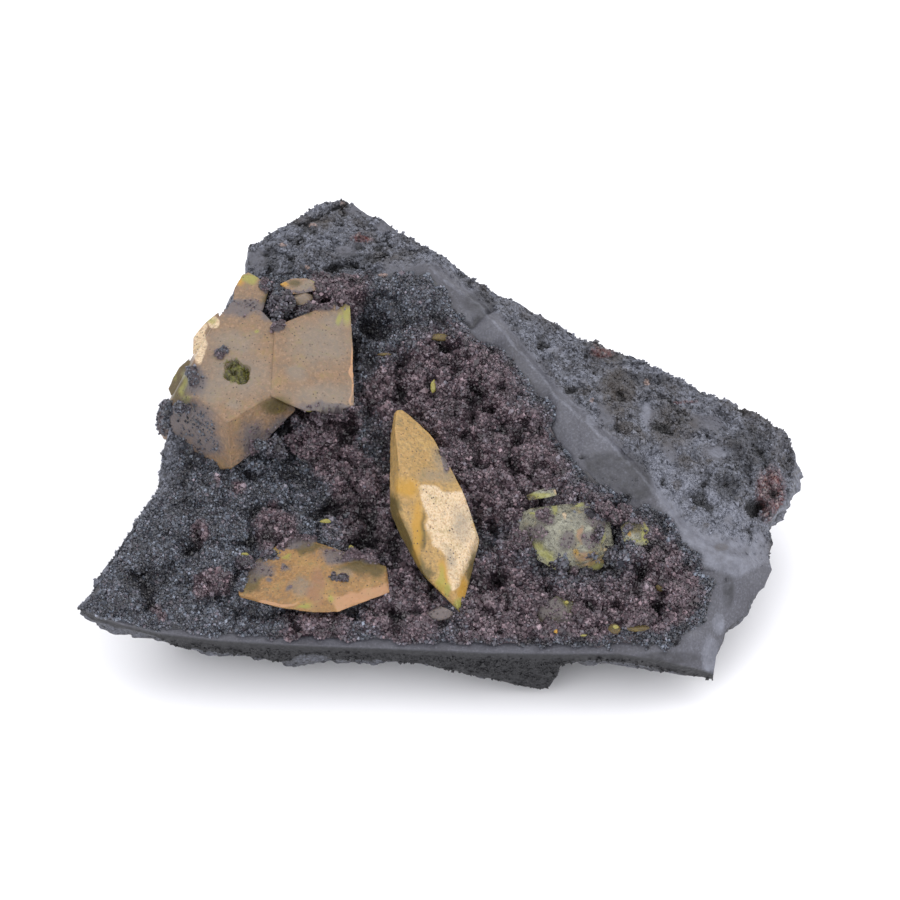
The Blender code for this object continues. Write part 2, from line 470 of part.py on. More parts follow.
def crystal_mesh(name, faces, corners):
    """A crystal with flat faces: the tightest solid round its faces' corners and its loose corners."""
    points = [point for face in faces for point in facet(*face)]
    points += [place(*corner) for corner in corners]
    net = bmesh.new()
    for point in points:
        net.verts.new(point)
    bmesh.ops.remove_doubles(net, verts=net.verts, dist=CORNER_MERGE)
    hull = bmesh.ops.convex_hull(net, input=net.verts[:])
    inner = set(hull["geom_interior"] + hull["geom_unused"])
    bmesh.ops.delete(net, geom=[v for v in net.verts if v in inner], context="VERTS")
    bmesh.ops.dissolve_limit(net, angle_limit=FLAT_ENOUGH, verts=net.verts, edges=net.edges)
    return finished(net, name)


def socket_mesh(mesh, name):
    """A crystal grown by the socket gap, to cut what it stands in."""
    net = bmesh.new()
    net.from_mesh(mesh)
    net.normal_update()
    moves = [(v, v.normal * SOCKET_GAP * MM * min(v.calc_shell_factor(), 3.0)) for v in net.verts]
    for vertex, move in moves:
        vertex.co += move
    grown = bpy.data.meshes.new(name)
    net.to_mesh(grown)
    net.free()
    return grown


def new_object(name, mesh, mineral, collection):
    """One piece of the specimen, with its mineral's material."""
    obj = bpy.data.objects.new(name, mesh)
    collection.objects.link(obj)
    colour, roughness, metallic = MINERALS[mineral]
    material = bpy.data.materials.new(name)
    material.use_nodes = True
    shader = material.node_tree.nodes["Principled BSDF"]
    shader.inputs["Base Color"].default_value = (*colour, 1.0)
    shader.inputs["Roughness"].default_value = roughness
    shader.inputs["Metallic"].default_value = metallic
    mesh.materials.append(material)
    return obj


def boolean(target, other, operation):
    """Join another shape to the target, or cut it out."""
    modifier = target.modifiers.new(other.name, "BOOLEAN")
    modifier.object = other
    modifier.operation = operation
    modifier.solver = "EXACT"


def tool(name, mesh, collection):
    """A guide that shapes its neighbours and isn't a piece itself."""
    obj = bpy.data.objects.new(name, mesh)
    obj.hide_render = True
    obj.display_type = "WIRE"
    collection.objects.link(obj)
    return obj


def build():
    """Clear the scene, then model the stone, the crust and the crystals in their sockets."""
    for obj in list(bpy.data.objects):
        bpy.data.objects.remove(obj)
    specimen = bpy.data.collections.new("sturmanite_specimen")
    cutters = bpy.data.collections.new("cutters")
    for collection in (specimen, cutters):
        bpy.context.scene.collection.children.link(collection)
    points, triangles, outline_order, rim = top_net()
    stone = new_object("rock_matrix", stone_mesh(points, triangles, outline_order, rim), "ore", specimen)
    crust = new_object("druse_crust", crust_mesh(points, triangles, rim), "crust", specimen)
    for name, (mineral, parts) in CRYSTALS.items():
        shapes = [crystal_mesh(name, *part) for part in parts]
        crystal = new_object(name, shapes[0], mineral, specimen)
        for number, shape in enumerate(shapes):
            if number:
                boolean(crystal, tool(f"{name}_lobe_{number}", shape, cutters), "UNION")
            socket = tool(f"{name}_socket_{number}", socket_mesh(shape, name), cutters)
            boolean(stone, socket, "DIFFERENCE")
            boolean(crust, socket, "DIFFERENCE")


build()
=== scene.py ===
"""Looks of the sturmanite specimen: its stone, sugary crust and crystals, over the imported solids.

Places on the top face are written as they are seen from the front, looking down at it: millimetres
to the right of the middle, millimetres up from the front edge, and, where a third number is
given, the height in millimetres over the leaning plane of the top face. An oval is its middle and
its half widths, seen in the same way.
"""

from itertools import combinations, product
from math import cos, pi, radians, sin

import bpy
import numpy as np
from bpy.props import FloatProperty, FloatVectorProperty, IntProperty, PointerProperty
from mathutils import Matrix, Vector


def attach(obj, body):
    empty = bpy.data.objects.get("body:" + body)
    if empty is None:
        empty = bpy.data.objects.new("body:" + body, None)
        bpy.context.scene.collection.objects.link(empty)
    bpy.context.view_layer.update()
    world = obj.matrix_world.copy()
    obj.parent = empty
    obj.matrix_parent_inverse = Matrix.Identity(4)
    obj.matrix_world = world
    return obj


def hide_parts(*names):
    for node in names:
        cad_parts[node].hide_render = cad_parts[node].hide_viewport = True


bl_info = {
    "name": "Sturmanite specimen",
    "version": (1, 0, 0),
    "blender": (4, 5, 0),
    "location": "3D View > Sidebar > Specimen",
    "description": "Builds the looks of the sturmanite specimen over its packed solids",
    "category": "Object",
}

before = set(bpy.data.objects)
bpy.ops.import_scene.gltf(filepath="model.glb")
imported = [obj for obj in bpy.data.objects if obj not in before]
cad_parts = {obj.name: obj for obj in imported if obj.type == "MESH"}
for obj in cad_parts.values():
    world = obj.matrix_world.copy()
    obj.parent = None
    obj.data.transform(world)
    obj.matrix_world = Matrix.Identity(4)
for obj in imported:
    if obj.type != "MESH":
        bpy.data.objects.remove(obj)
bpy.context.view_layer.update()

MM = 0.001

# How the slab sits, and where the outlines are seen from, as in the solids
FACE_TILT = radians(24.0)
FRONT_EDGE_HEIGHT = 6.0
SIGHT_ELEVATION = radians(42.0)
SIGHT_DISTANCE = 300.0
SIGHT_CENTRE = (1.2, 16.7)
MIDDLE_ON_TABLE = np.array([0.76, 21.2, 0.0])
SEEN_WIDTH = 75.0

ACROSS = np.array([1.0, 0.0, 0.0])
UP_SLOPE = np.array([0.0, cos(FACE_TILT), sin(FACE_TILT)])
FACE_NORMAL = np.array([0.0, -sin(FACE_TILT), cos(FACE_TILT)])
SIGHT = np.array([0.0, cos(SIGHT_ELEVATION), -sin(SIGHT_ELEVATION)])
SEEN_UP = np.array([0.0, sin(SIGHT_ELEVATION), cos(SIGHT_ELEVATION)])
PLANE_POINT = np.array([0.0, 0.0, FRONT_EDGE_HEIGHT]) - MIDDLE_ON_TABLE
SEEN_CENTRE = PLANE_POINT + ACROSS * SIGHT_CENTRE[0] + UP_SLOPE * (SIGHT_CENTRE[1] / (UP_SLOPE @ SEEN_UP))
EYE = SEEN_CENTRE - SIGHT * SIGHT_DISTANCE

# Texture of the solids: crust, ledges, step behind the ridge, lumps, and the walls down to the base
RELIEF_ROUNDING = 0.8
STRIP_FALL = 1.6
CRUST_THICKNESS = 1.2
CREASE_DEPTH = 0.4
CLUSTER_SIZE = 3.0
CLUSTER_HEIGHT = 1.25
CLUSTER_SEED = 7
SMALL_CLUSTER_SHARE = 0.4
RIDGE_STEP = 0.5
SHOULDER_LEDGE_HEIGHT = 0.5
TOP_LEDGE_HEIGHT = 0.6
LEDGE_WIDTH = 1.1
ROUGH_TOP_FROM = 31.5
LUMP_SIZE = 2.6
LUMP_HEIGHT = 0.45
WALL_BULGE = 0.9
WALL_ROUGHNESS = 1.0
WALL_LUMP_SIZE = 4.6
BENCH_HEIGHT = 7.0
BENCH_DEPTH = 1.2
BASE_SHRINK = 0.74
BASE_CENTRE = (-0.5, 21.0)

# Texture that the solids are too coarse for
OVAL_SOFTNESS = 1.2
OUTLINE_SOFTNESS = 0.8
HOLLOW_REACH = 1.3
CRUST_RIM_INSET = 0.6
CRUST_CENTRE = (-2.0, 14.0)
CRUST_EDGE_LIFT = 0.1
THINNEST_CRUST = 0.25
HEAD_SIZE = 1.7
HEAD_HEIGHT = 1.0
HEAD_MIDDLE = 0.55
KNOB_SIZE = 1.0
KNOB_HEIGHT = 0.6
KNOB_MIDDLE = 0.6
KNOB_LEAN = 0.2
FINE_KNOBS = 0.4
BASE_HOLLOW = 0.3

# Crystals: how sharp their edges are, and the size of their unevenness, their etching and their lumps
EDGE_SHARPNESS = 150
UNEVEN_SIZE = 2.6
UNEVEN_HEIGHT = 0.07
ETCH_SIZE = 0.45
ETCH_HEIGHT = 0.025
LUMP_ON_CRYSTAL = 0.4
PIT_DEPTH = 0.6

# Clumps of druse: distance of their knobs. Loose bits: their flat faces, edges and longest reach.
KNOB_SPACING = 0.45
BIT_FACES = 14
BIT_SHARPNESS = 24.0
BIT_REACH = 1.3

# Meshes: rings of the slab's bed, band, broken face, walls and base, and of the crust's skin, which
# has one ring underneath for every so many above; steps across the sides of knobs and bits
BED_RINGS = 8
BAND_RINGS = 24
BROKEN_RINGS = 54
WALL_RINGS = 28
BASE_RINGS = 7
CRUST_RINGS = 104
UNDER_STEP = 16
WALL_EASE = 37
GRAIN_CORNERS = 6
KNOB_STEPS = 6
BIT_STEPS = 10

# Random tables: cells each way in the flat ones, and in the ones in space, and further than any cell
GRID = 64
SPACE_GRID = 256
FAR = 9.0

# The smallest length and distance that count, and how near two planes of a crystal are one
TINY = 1e-6
NO_DISTANCE = 1e-9
SAME_PLANE = 0.002

# Outline of the slab, from the left tip along the front, up the right end and back along the skyline
FRONT = [
    (-29.9, 3.5), (-28.7, 2.6), (-26.3, 2.0), (-23.4, 1.2), (-21.8, 0.4), (-19.7, 0.0), (-16.3, -0.3),
    (-13.4, -0.8), (-12.2, -0.8), (-11.3, -0.3), (-10.2, -0.2), (-8.0, -0.8), (-3.0, -0.9), (-0.5, -1.2),
    (2.0, -1.8), (3.7, -2.3), (7.0, -2.8), (8.9, -3.2), (9.5, -3.0), (10.1, -2.1), (10.4, -1.2),
    (11.6, -0.9), (13.7, -0.9), (17.0, -1.2), (19.5, -1.7), (22.0, -2.2), (23.1, -2.4),
]
RIGHT_END = [
    (23.4, -0.4), (24.2, 1.8), (25.8, 3.1), (26.2, 4.2), (27.4, 5.5), (28.0, 6.8), (27.7, 8.0), (28.0, 9.2),
    (27.7, 10.7), (28.6, 11.9), (29.4, 12.9), (29.9, 15.0), (30.0, 16.5), (29.2, 17.9),
]
SKYLINE = [
    (28.2, 18.9), (26.3, 19.9), (23.0, 21.2), (19.1, 23.2), (14.9, 25.0), (12.0, 26.0), (9.1, 27.7),
    (5.3, 29.7), (3.7, 30.5), (1.6, 32.2), (-0.1, 33.2), (-2.8, 34.6), (-4.2, 35.7), (-5.7, 36.3),
    (-7.6, 37.7), (-9.7, 37.3), (-10.9, 36.2), (-12.6, 35.3), (-14.4, 34.2), (-15.5, 33.8),
]
LEFT_EDGE = [
    (-15.7, 31.7), (-17.2, 28.8), (-19.7, 24.2), (-22.0, 18.8), (-22.8, 16.2), (-23.2, 13.3), (-24.7, 11.2),
    (-27.0, 7.7), (-28.5, 5.8), (-28.5, 4.9),
]
STRIP_TOP = [
    (-29.9, 3.7), (-28.0, 2.8), (-26.0, 2.2), (-23.0, 1.5), (-18.0, 0.9), (-11.3, 0.5), (-3.0, 0.2),
    (3.7, -0.1), (10.3, -0.2), (15.3, -0.2), (18.7, -0.7), (22.0, -1.5), (23.1, -1.8),
]
CRUST_EDGE = [
    (-28.6, 4.4), (-26.6, 3.0), (-23.0, 2.1), (-18.0, 1.6), (-11.3, 1.3), (-3.0, 1.0), (3.7, 0.7),
    (10.3, 0.6), (14.5, 0.6), (17.0, 1.0), (19.3, 1.9), (21.2, 3.3), (21.8, 5.0), (21.2, 6.4), (18.7, 9.2),
    (17.4, 11.3), (14.5, 13.2), (12.0, 14.9), (9.8, 17.4), (9.2, 20.4), (7.7, 22.5), (5.3, 24.8),
    (2.8, 26.2), (0.9, 29.2), (-0.7, 31.3), (-3.8, 31.1), (-7.2, 30.9), (-11.3, 31.5), (-14.0, 30.8),
    (-15.6, 28.9), (-18.2, 23.8), (-20.4, 18.6), (-21.4, 16.2), (-22.0, 13.2), (-23.6, 10.8), (-25.9, 7.6),
    (-27.3, 6.0),
]
RIDGE = [
    (-0.5, 31.9), (1.6, 30.2), (3.7, 28.6), (5.3, 26.9), (8.7, 22.9), (10.3, 20.9), (13.7, 18.0),
    (17.0, 14.7), (20.3, 10.4), (22.4, 8.7), (25.3, 7.6), (27.3, 7.1),
]
BEHIND_RIDGE = RIDGE + [(34.0, 7.0), (34.0, 44.0), (-0.5, 44.0)]
SHOULDER_LEDGE = [(15.9, 22.8), (19.2, 20.9), (20.5, 19.5), (23.1, 17.8)]
TOP_LEDGE = [(-11.3, 34.3), (-9.7, 36.6)]

# The stone's outline, the line of its strip and ridge, and the crust's edge, each in five stretches:
# the front, the right corner, the ridge, the apex and the left
OUTER_STRETCHES = [
    FRONT, FRONT[-1:] + RIGHT_END[:6], RIGHT_END[5:] + SKYLINE[:11], SKYLINE[10:],
    SKYLINE[-1:] + LEFT_EDGE + FRONT[:1],
]
MIDDLE_STRETCHES = [
    [(-29.4, 3.8)] + STRIP_TOP[1:-1] + [(22.8, -1.7)],
    [(22.8, -1.7), (23.4, 1.6), (25.2, 3.7), (26.6, 5.6), (27.3, 7.1)], RIDGE[::-1],
    [(-0.5, 31.9), (-3.8, 32.9), (-7.2, 34.2), (-10.9, 34.4), (-14.6, 32.9)],
    [
        (-14.6, 32.9), (-16.6, 28.9), (-19.1, 24.0), (-21.4, 18.7), (-22.2, 16.2), (-22.7, 13.2),
        (-24.2, 11.0), (-26.5, 7.6), (-28.0, 5.8), (-29.4, 3.8),
    ],
]
CRUST_STRETCHES = [
    CRUST_EDGE[:11], CRUST_EDGE[10:14], CRUST_EDGE[13:25], CRUST_EDGE[24:29],
    CRUST_EDGE[28:] + CRUST_EDGE[:1],
]

# Height of the top face over its plane, place by place, and round pits and lumps: middle, radius, height
RELIEF = [
    (-29.9, 3.7, 0.2), (-26.3, 5.0, 0.3), (-22.6, 10.8, 0.0), (-22.6, 16.7, -1.0), (-19.7, 22.5, -1.6),
    (-17.2, 28.8, -2.4), (-19.7, 12.5, 0.0), (-15.5, 12.5, -0.8), (-11.3, 10.8, -0.9), (-11.3, 15.0, -1.6),
    (-8.0, 18.3, -2.6), (-4.7, 22.1, -2.4), (-3.0, 25.8, -2.2), (-5.5, 27.9, -2.8), (0.3, 24.2, -1.6),
    (5.3, 20.0, -1.0), (7.8, 16.7, -0.8), (5.3, 10.4, -1.8), (4.5, 5.8, -1.6), (-0.5, 2.9, -0.8),
    (10.3, 4.2, -0.8), (17.0, 4.2, -0.1), (21.2, 4.6, 0.1), (13.7, 13.0, -0.4), (-11.3, 2.9, -0.5),
    (-19.7, 4.2, 0.3), (-11.3, 0.6, 0.0), (3.7, 0.0, 0.0), (15.3, 0.0, 0.0), (-21.3, 1.2, 0.2),
    (0.9, 29.2, -0.7), (5.3, 25.0, -0.5), (9.2, 20.7, -0.35), (9.8, 17.4, -0.55), (17.8, 10.8, -0.5),
    (21.2, 6.4, -0.2), (-0.5, 31.7, 0.0), (5.3, 26.7, 0.4), (10.3, 20.7, 0.6), (13.7, 17.9, 0.8),
    (17.8, 13.8, 0.6), (22.0, 8.8, 0.4), (25.3, 7.5, -0.6), (-1.3, 33.6, -3.0), (5.3, 29.7, -4.2),
    (12.0, 26.0, -4.8), (19.1, 23.2, -4.8), (24.9, 20.5, -4.6), (29.2, 17.9, -5.4), (18.7, 18.3, -1.4),
    (23.7, 15.8, -1.8), (25.3, 11.7, -1.8), (27.8, 13.3, -3.6), (30.0, 15.8, -6.0), (27.8, 8.8, -3.6),
    (28.0, 6.7, -4.0), (25.8, 3.2, -3.4), (23.4, -0.4, -3.0), (23.1, -2.2, -3.2), (23.2, 4.2, -1.2),
    (22.0, 0.8, -1.0), (-11.3, 33.3, -1.8), (-8.0, 36.5, -3.6), (-4.2, 34.2, -2.6), (-14.5, 32.3, -3.0),
    (-9.5, 37.2, -4.4), (-15.5, 33.6, -4.4), (-3.0, 31.2, -0.9), (-7.2, 30.8, -1.1), (-12.2, 30.6, -1.8),
]
PITS = [
    (27.0, 11.8, 1.0, 1.4), (5.0, 10.2, 1.2, 1.2), (5.3, 5.4, 1.1, 1.2), (-7.7, 18.6, 1.6, 1.0),
    (-5.4, 27.4, 1.5, 1.0), (-1.0, 12.2, 1.0, 0.8), (13.0, 24.0, 0.9, 0.5),
]
CRUST_LUMPS = [
    (-12.6, 29.3, 1.4, 2.8), (-8.4, 29.9, 1.5, 2.4), (-10.4, 18.0, 2.0, 2.0), (-12.8, 17.0, 1.4, 1.4),
    (16.9, 3.0, 1.4, 0.8), (0.6, 19.0, 2.2, 0.9), (5.4, 22.0, 1.8, 0.8), (-4.0, 15.0, 1.6, 0.8),
]

# Crystals, lobe by lobe. A face is three corners that set its plane and others that are seen on it.
PAIR_FRONT = (-17.4, 19.0, 5.0)
PAIR_NOTCH = (-13.8, 21.2, 4.6)
PAIR_SIDE = (-19.9, 21.1, 4.34)
PAIR_FOOT = (-17.0, 15.1, 1.2)
PAIR_LEFT = (
    [
        (
            PAIR_FRONT, PAIR_NOTCH, (-17.0, 29.1, 2.4), (-19.9, 21.1), (-20.2, 24.1), (-19.7, 25.2),
            (-18.1, 27.8), (-14.5, 28.3), (-13.2, 26.9),
        ),
        (
            PAIR_FRONT, PAIR_SIDE, PAIR_FOOT, (-18.1, 15.0), (-19.8, 15.6), (-21.9, 17.0), (-22.8, 17.8),
            (-22.8, 19.8), (-22.0, 21.0),
        ),
        (PAIR_FRONT, PAIR_NOTCH, PAIR_FOOT, (-11.6, 20.0), (-15.5, 16.2)),
    ],
    [(-20.0, 25.0, -3.0), (-20.5, 20.0, -2.8), (-15.0, 20.0, -2.8), (-14.5, 27.5, -3.2)],
)
PAIR_RIGHT = (
    [
        (
            PAIR_NOTCH, (-6.8, 20.4, 3.2), (-7.1, 28.8, 1.6), (-13.4, 26.9), (-10.0, 28.4), (-7.2, 25.2),
            (-6.8, 22.4), (-7.8, 20.1), (-10.8, 19.9),
        ),
    ],
    [(-12.5, 21.5, -2.8), (-7.6, 21.5, -3.0), (-7.6, 27.0, -3.2), (-13.0, 27.0, -3.2)],
)
PAIR_PRISM = (
    [],
    [
        (-16.8, 29.2, 2.2), (-16.8, 30.2, 1.8), (-16.1, 31.3, 1.2), (-15.6, 31.5, 1.0), (-14.8, 31.1, 1.2),
        (-13.8, 30.2, 1.4), (-14.5, 28.0, 2.5), (-17.0, 28.3, 2.3), (-16.0, 29.0, -3.2),
        (-14.5, 29.0, -3.0), (-15.6, 30.5, -3.0),
    ],
)
PAIR_PALE_LOBE = (
    [],
    [
        (-18.1, 28.2, 1.4), (-19.3, 27.2, 1.2), (-20.2, 26.1, 1.2), (-20.3, 24.7, 1.4), (-19.2, 24.2, 2.0),
        (-17.6, 26.7, 2.2), (-19.5, 25.5, -2.5), (-18.5, 27.0, -2.6), (-18.0, 26.0, -3.0),
    ],
)
PAIR_GREEN_LOBE = (
    [],
    [
        (-20.5, 24.4, 0.6), (-21.4, 23.6, 0.2), (-21.9, 22.8, 0.0), (-22.3, 21.8, -0.2), (-22.1, 21.2, 0.0),
        (-20.9, 21.7, 1.2), (-20.2, 22.9, 1.4), (-21.0, 23.0, -2.2), (-20.6, 22.2, -2.4),
    ],
)
CENTER_FRONT = (-1.6, 13.8, 4.2)
CENTER_TIP = (-3.2, 20.1, 1.4)
CENTER_FOOT = (1.5, 4.9, 1.6)
CENTER = (
    [
        (
            CENTER_TIP, CENTER_FRONT, (2.2, 13.4, 2.2), (-2.8, 20.1), (-2.1, 19.6), (-0.4, 18.0),
            (0.1, 17.2), (0.8, 16.2), (-3.4, 18.5), (-3.1, 15.6),
        ),
        (CENTER_FRONT, CENTER_FOOT, (-3.2, 11.8, 3.0), (-0.9, 6.3)),
        (CENTER_FRONT, (2.2, 13.4, 2.2), CENTER_FOOT, (2.9, 11.1), (3.4, 10.0)),
    ],
    [
        (-3.5, 19.8, 1.2), (-3.8, 17.8, 1.6), (-3.8, 13.5, 2.4), (-3.8, 11.6, 1.0), (-2.9, 9.4, 0.8),
        (-1.8, 7.4, 0.6), (-0.9, 6.1, 0.6), (1.2, 4.2, 0.9), (2.0, 3.1, 0.5), (2.2, 3.3, 0.4),
        (3.0, 7.0, 0.2), (3.3, 8.2, 0.3), (3.7, 9.2, 0.4), (-2.0, 18.0, -2.2), (0.0, 15.0, -3.0),
        (0.0, 10.0, -3.5), (2.0, 8.0, -3.0), (1.5, 5.5, -2.6), (-2.5, 12.0, -3.0),
    ],
)
LOW_FRONT = (-9.1, 5.2, 3.0)
LOW_BACK = (-9.3, 8.0, 1.7)
LOWER_LEFT = (
    [
        (
            LOW_FRONT, LOW_BACK, (-16.4, 4.6, 1.54), (-12.3, 3.9), (-10.4, 3.8), (-16.5, 5.2), (-16.5, 6.0),
            (-14.7, 7.7), (-13.2, 8.8), (-11.9, 9.2), (-10.3, 9.1),
        ),
        (LOW_FRONT, LOW_BACK, (-4.2, 5.7, 1.6), (-8.9, 4.4), (-4.1, 7.0), (-6.1, 6.9), (-7.4, 7.5)),
        ((-8.9, 4.4, 3.3), (-4.2, 5.7, 1.6), (-8.1, 3.2, 2.2), (-3.8, 4.8)),
    ],
    [
        (-16.3, 4.4, 1.2), (-13.2, 3.6, 2.2), (-10.2, 3.2, 2.6), (-15.0, 6.0, -2.0), (-10.0, 5.0, -2.5),
        (-5.5, 6.5, -2.0), (-11.0, 8.0, -2.5), (-7.0, 8.0, -2.5),
    ],
)
RIGHT_GLASSY = (
    [],
    [
        (6.3, 10.0, -1.0), (6.6, 11.2, -0.6), (7.8, 11.8, 0.1), (9.9, 12.1, 0.3), (12.4, 12.4, 0.4),
        (13.8, 12.0, 0.3), (14.5, 11.0, 0.3), (14.7, 9.4, 0.3), (15.1, 7.8, -0.3), (12.7, 6.0, -0.6),
        (10.2, 6.6, -0.4), (8.5, 7.5, -0.4), (7.3, 8.7, -0.6), (10.3, 10.8, 1.7), (13.0, 10.2, 1.5),
        (12.7, 8.2, 1.4), (9.1, 9.6, 1.3), (9.0, 9.0, -3.5), (13.6, 9.0, -3.0), (12.0, 11.0, -3.2),
        (11.0, 7.5, -3.0),
    ],
)
SMALL_RIGHT = (
    [],
    [
        (15.4, 10.3, 0.6), (16.0, 10.8, 0.7), (17.4, 10.7, 0.5), (18.0, 9.8, 0.3), (17.7, 8.8, 0.4),
        (16.6, 8.6, 0.9), (15.7, 9.1, 1.0), (16.5, 9.9, 1.5), (16.6, 9.4, -2.2),
    ],
)
SLIVER = (
    [],
    [
        (7.5, 12.9, 0.2), (9.1, 13.5, 0.3), (10.0, 13.5, 0.4), (10.1, 12.9, 0.7), (9.1, 12.7, 0.9),
        (7.8, 12.5, 0.7), (8.8, 13.1, -1.8),
    ],
)
SMALL_TOP = (
    [],
    [
        (-13.0, 30.5, 1.8), (-11.9, 31.0, 1.6), (-10.8, 31.0, 1.6), (-9.8, 30.7, 1.6), (-10.0, 30.0, 2.2),
        (-10.9, 29.8, 2.4), (-11.9, 29.7, 2.4), (-11.5, 30.3, -2.6), (-10.6, 30.3, -2.6),
    ],
)
GLASSY_FRONT = (
    [],
    [
        (8.7, 3.7, 0.2), (10.3, 4.7, 0.3), (12.0, 4.2, 0.2), (12.7, 2.7, 0.0), (11.6, 1.7, -0.2),
        (9.7, 1.3, -0.2), (8.1, 1.9, -0.2), (10.3, 2.9, 0.9), (9.5, 2.8, -2.6), (11.0, 2.8, -2.6),
    ],
)

# Cracks and grooves in the smooth band, as a line, half its width and its depth
GROOVES = [
    ([(2.5, 26.8), (3.3, 27.5), (4.0, 27.8), (4.8, 28.4)], 0.3, 0.5),
    ([(12.0, 15.9), (14.0, 16.1), (17.0, 16.3)], 0.18, 0.12),
    ([(12.1, 16.2), (11.6, 18.2), (11.8, 20.0)], 0.15, 0.08),
    ([(18.9, 11.0), (19.4, 10.0), (20.1, 8.5), (21.4, 7.2), (23.4, 6.3)], 0.25, 0.2),
    ([(-8.0, 37.2), (-10.0, 36.0), (-11.2, 35.25)], 0.22, 0.5),
    ([(15.7, 23.0), (19.5, 20.7), (23.1, 17.8)], 0.25, 0.3),
    ([(-11.4, 34.2), (-9.0, 33.2), (-6.0, 33.4), (-3.6, 32.8)], 0.2, 0.25),
]

# Where the crust is purple-brown and knobbly, as middle and radius: elsewhere it is blue-black and even
PURPLE_PATCHES = [
    (1.0, 20.5, 6.5), (5.5, 15.5, 6.0), (12.0, 6.0, 8.0), (17.5, 5.5, 6.0), (-5.0, 11.5, 4.0),
    (-2.5, 4.0, 4.0), (-9.5, 19.0, 3.2), (-8.5, 29.8, 2.6), (-3.5, 21.0, 3.0), (6.0, 3.0, 5.0),
    (-18.4, 5.9, 1.3), (-13.4, 9.9, 1.6), (-8.6, 16.3, 2.4), (-10.0, 1.4, 3.4), (-19.5, 9.6, 0.8),
    (-16.6, 13.7, 0.8), (-18.1, 14.2, 0.6), (-23.4, 3.4, 0.8),
]

# The oval of greyer crust round the glassy crystals
GLASSY_AREA = (12.0, 8.6, 5.4, 3.6)

# Hollows of the crust that the solid is too coarse for: ovals, and depth. Each is sunk, and darkened
# in the painted shade of the creases.
HOLLOWS = [
    (7.9, 12.6, 0.5, 0.4, 0.5), (-2.7, 23.6, 0.5, 1.6, 0.8), (-2.8, 21.3, 0.5, 0.8, 0.7),
    (2.0, 23.4, 1.0, 0.7, 0.8), (3.3, 21.7, 0.9, 0.6, 0.8), (4.4, 20.1, 0.7, 0.6, 0.8),
    (5.4, 18.2, 0.9, 0.8, 0.9), (1.1, 25.4, 1.3, 0.5, 0.8), (4.9, 10.2, 0.8, 1.0, 0.9),
    (5.4, 5.6, 1.0, 0.8, 0.9), (-7.5, 18.2, 0.8, 1.6, 0.9), (-9.2, 11.4, 2.2, 0.5, 0.9),
    (-6.2, 9.0, 1.6, 0.6, 0.8), (-5.2, 10.6, 0.7, 0.9, 0.7), (11.9, 6.5, 0.8, 0.4, 0.7),
    (12.8, 3.5, 0.7, 0.4, 0.7), (8.6, 2.7, 0.5, 0.4, 0.6), (16.9, 6.4, 0.5, 1.3, 0.8),
    (16.6, 11.8, 0.6, 0.4, 0.6), (-4.2, 16.0, 0.8, 2.2, 0.7), (-5.0, 26.8, 1.4, 0.8, 0.8),
    (-6.6, 24.0, 0.5, 2.2, 0.8), (-2.8, 3.0, 1.0, 0.5, 0.6), (0.4, 2.4, 0.8, 0.4, 0.6),
    (-4.6, 7.4, 0.6, 1.0, 0.6), (7.6, 14.9, 0.8, 0.4, 0.6), (-12.0, 14.6, 1.2, 0.5, 0.6),
    (-20.2, 8.7, 0.6, 1.1, 0.8), (-17.1, 5.4, 0.6, 1.7, 0.8), (-20.8, 6.0, 1.1, 0.6, 0.6),
    (-15.2, 14.3, 1.9, 0.7, 0.6), (-10.9, 13.9, 1.3, 0.8, 0.5), (-11.5, 2.9, 3.2, 0.35, 0.5),
    (-24.6, 6.6, 0.8, 0.4, 0.5), (-19.6, 16.3, 1.5, 0.7, 0.7), (-21.6, 12.4, 0.7, 0.4, 0.4),
    (0.8, 8.9, 0.5, 0.3, 0.3), (7.4, 18.9, 0.5, 0.8, 0.6), (3.4, 12.2, 0.6, 0.4, 0.5),
    (9.9, 4.9, 0.6, 0.3, 0.5), (14.9, 4.0, 0.5, 0.6, 0.6), (18.9, 3.9, 0.5, 0.4, 0.5),
    (2.8, 1.6, 0.6, 0.3, 0.4), (7.4, 9.7, 1.5, 1.5, 0.5), (14.0, 9.4, 1.3, 1.7, 0.5),
    (12.4, 6.9, 2.0, 0.9, 0.5), (10.4, 3.0, 2.0, 1.5, 0.4), (-3.6, 9.0, 0.9, 2.6, 0.5),
]

# Holes in the broken stone as ovals and depth, and the parts of it that broke smooth
HOLES = [
    (-8.5, 31.95, 0.9, 0.4, 0.7), (-7.2, 32.2, 0.6, 0.35, 0.6), (-13.3, 33.0, 1.1, 0.4, 0.5),
    (-13.7, 31.7, 0.4, 0.4, 0.5), (-11.6, 34.2, 0.7, 0.4, 0.4), (-9.7, 33.1, 0.3, 0.25, 0.4),
    (-6.3, 33.7, 0.3, 0.4, 0.5), (-4.2, 32.9, 0.5, 0.3, 0.4), (-5.1, 31.7, 0.8, 0.2, 0.4),
    (26.5, 11.9, 0.55, 0.7, 0.9), (27.0, 17.0, 0.6, 0.3, 0.5), (27.3, 15.4, 0.3, 0.4, 0.5),
    (26.0, 14.6, 0.4, 0.9, 0.5), (12.2, 16.0, 0.14, 0.12, 0.5), (15.5, 21.0, 0.9, 0.35, 0.4),
    (18.6, 18.6, 0.8, 0.4, 0.4), (21.6, 17.8, 0.5, 0.3, 0.4), (22.4, 14.6, 0.5, 0.8, 0.3),
    (24.0, 14.0, 0.4, 0.6, 0.4), (12.2, 24.3, 0.7, 0.3, 0.4), (8.9, 25.7, 0.6, 0.3, 0.3),
]
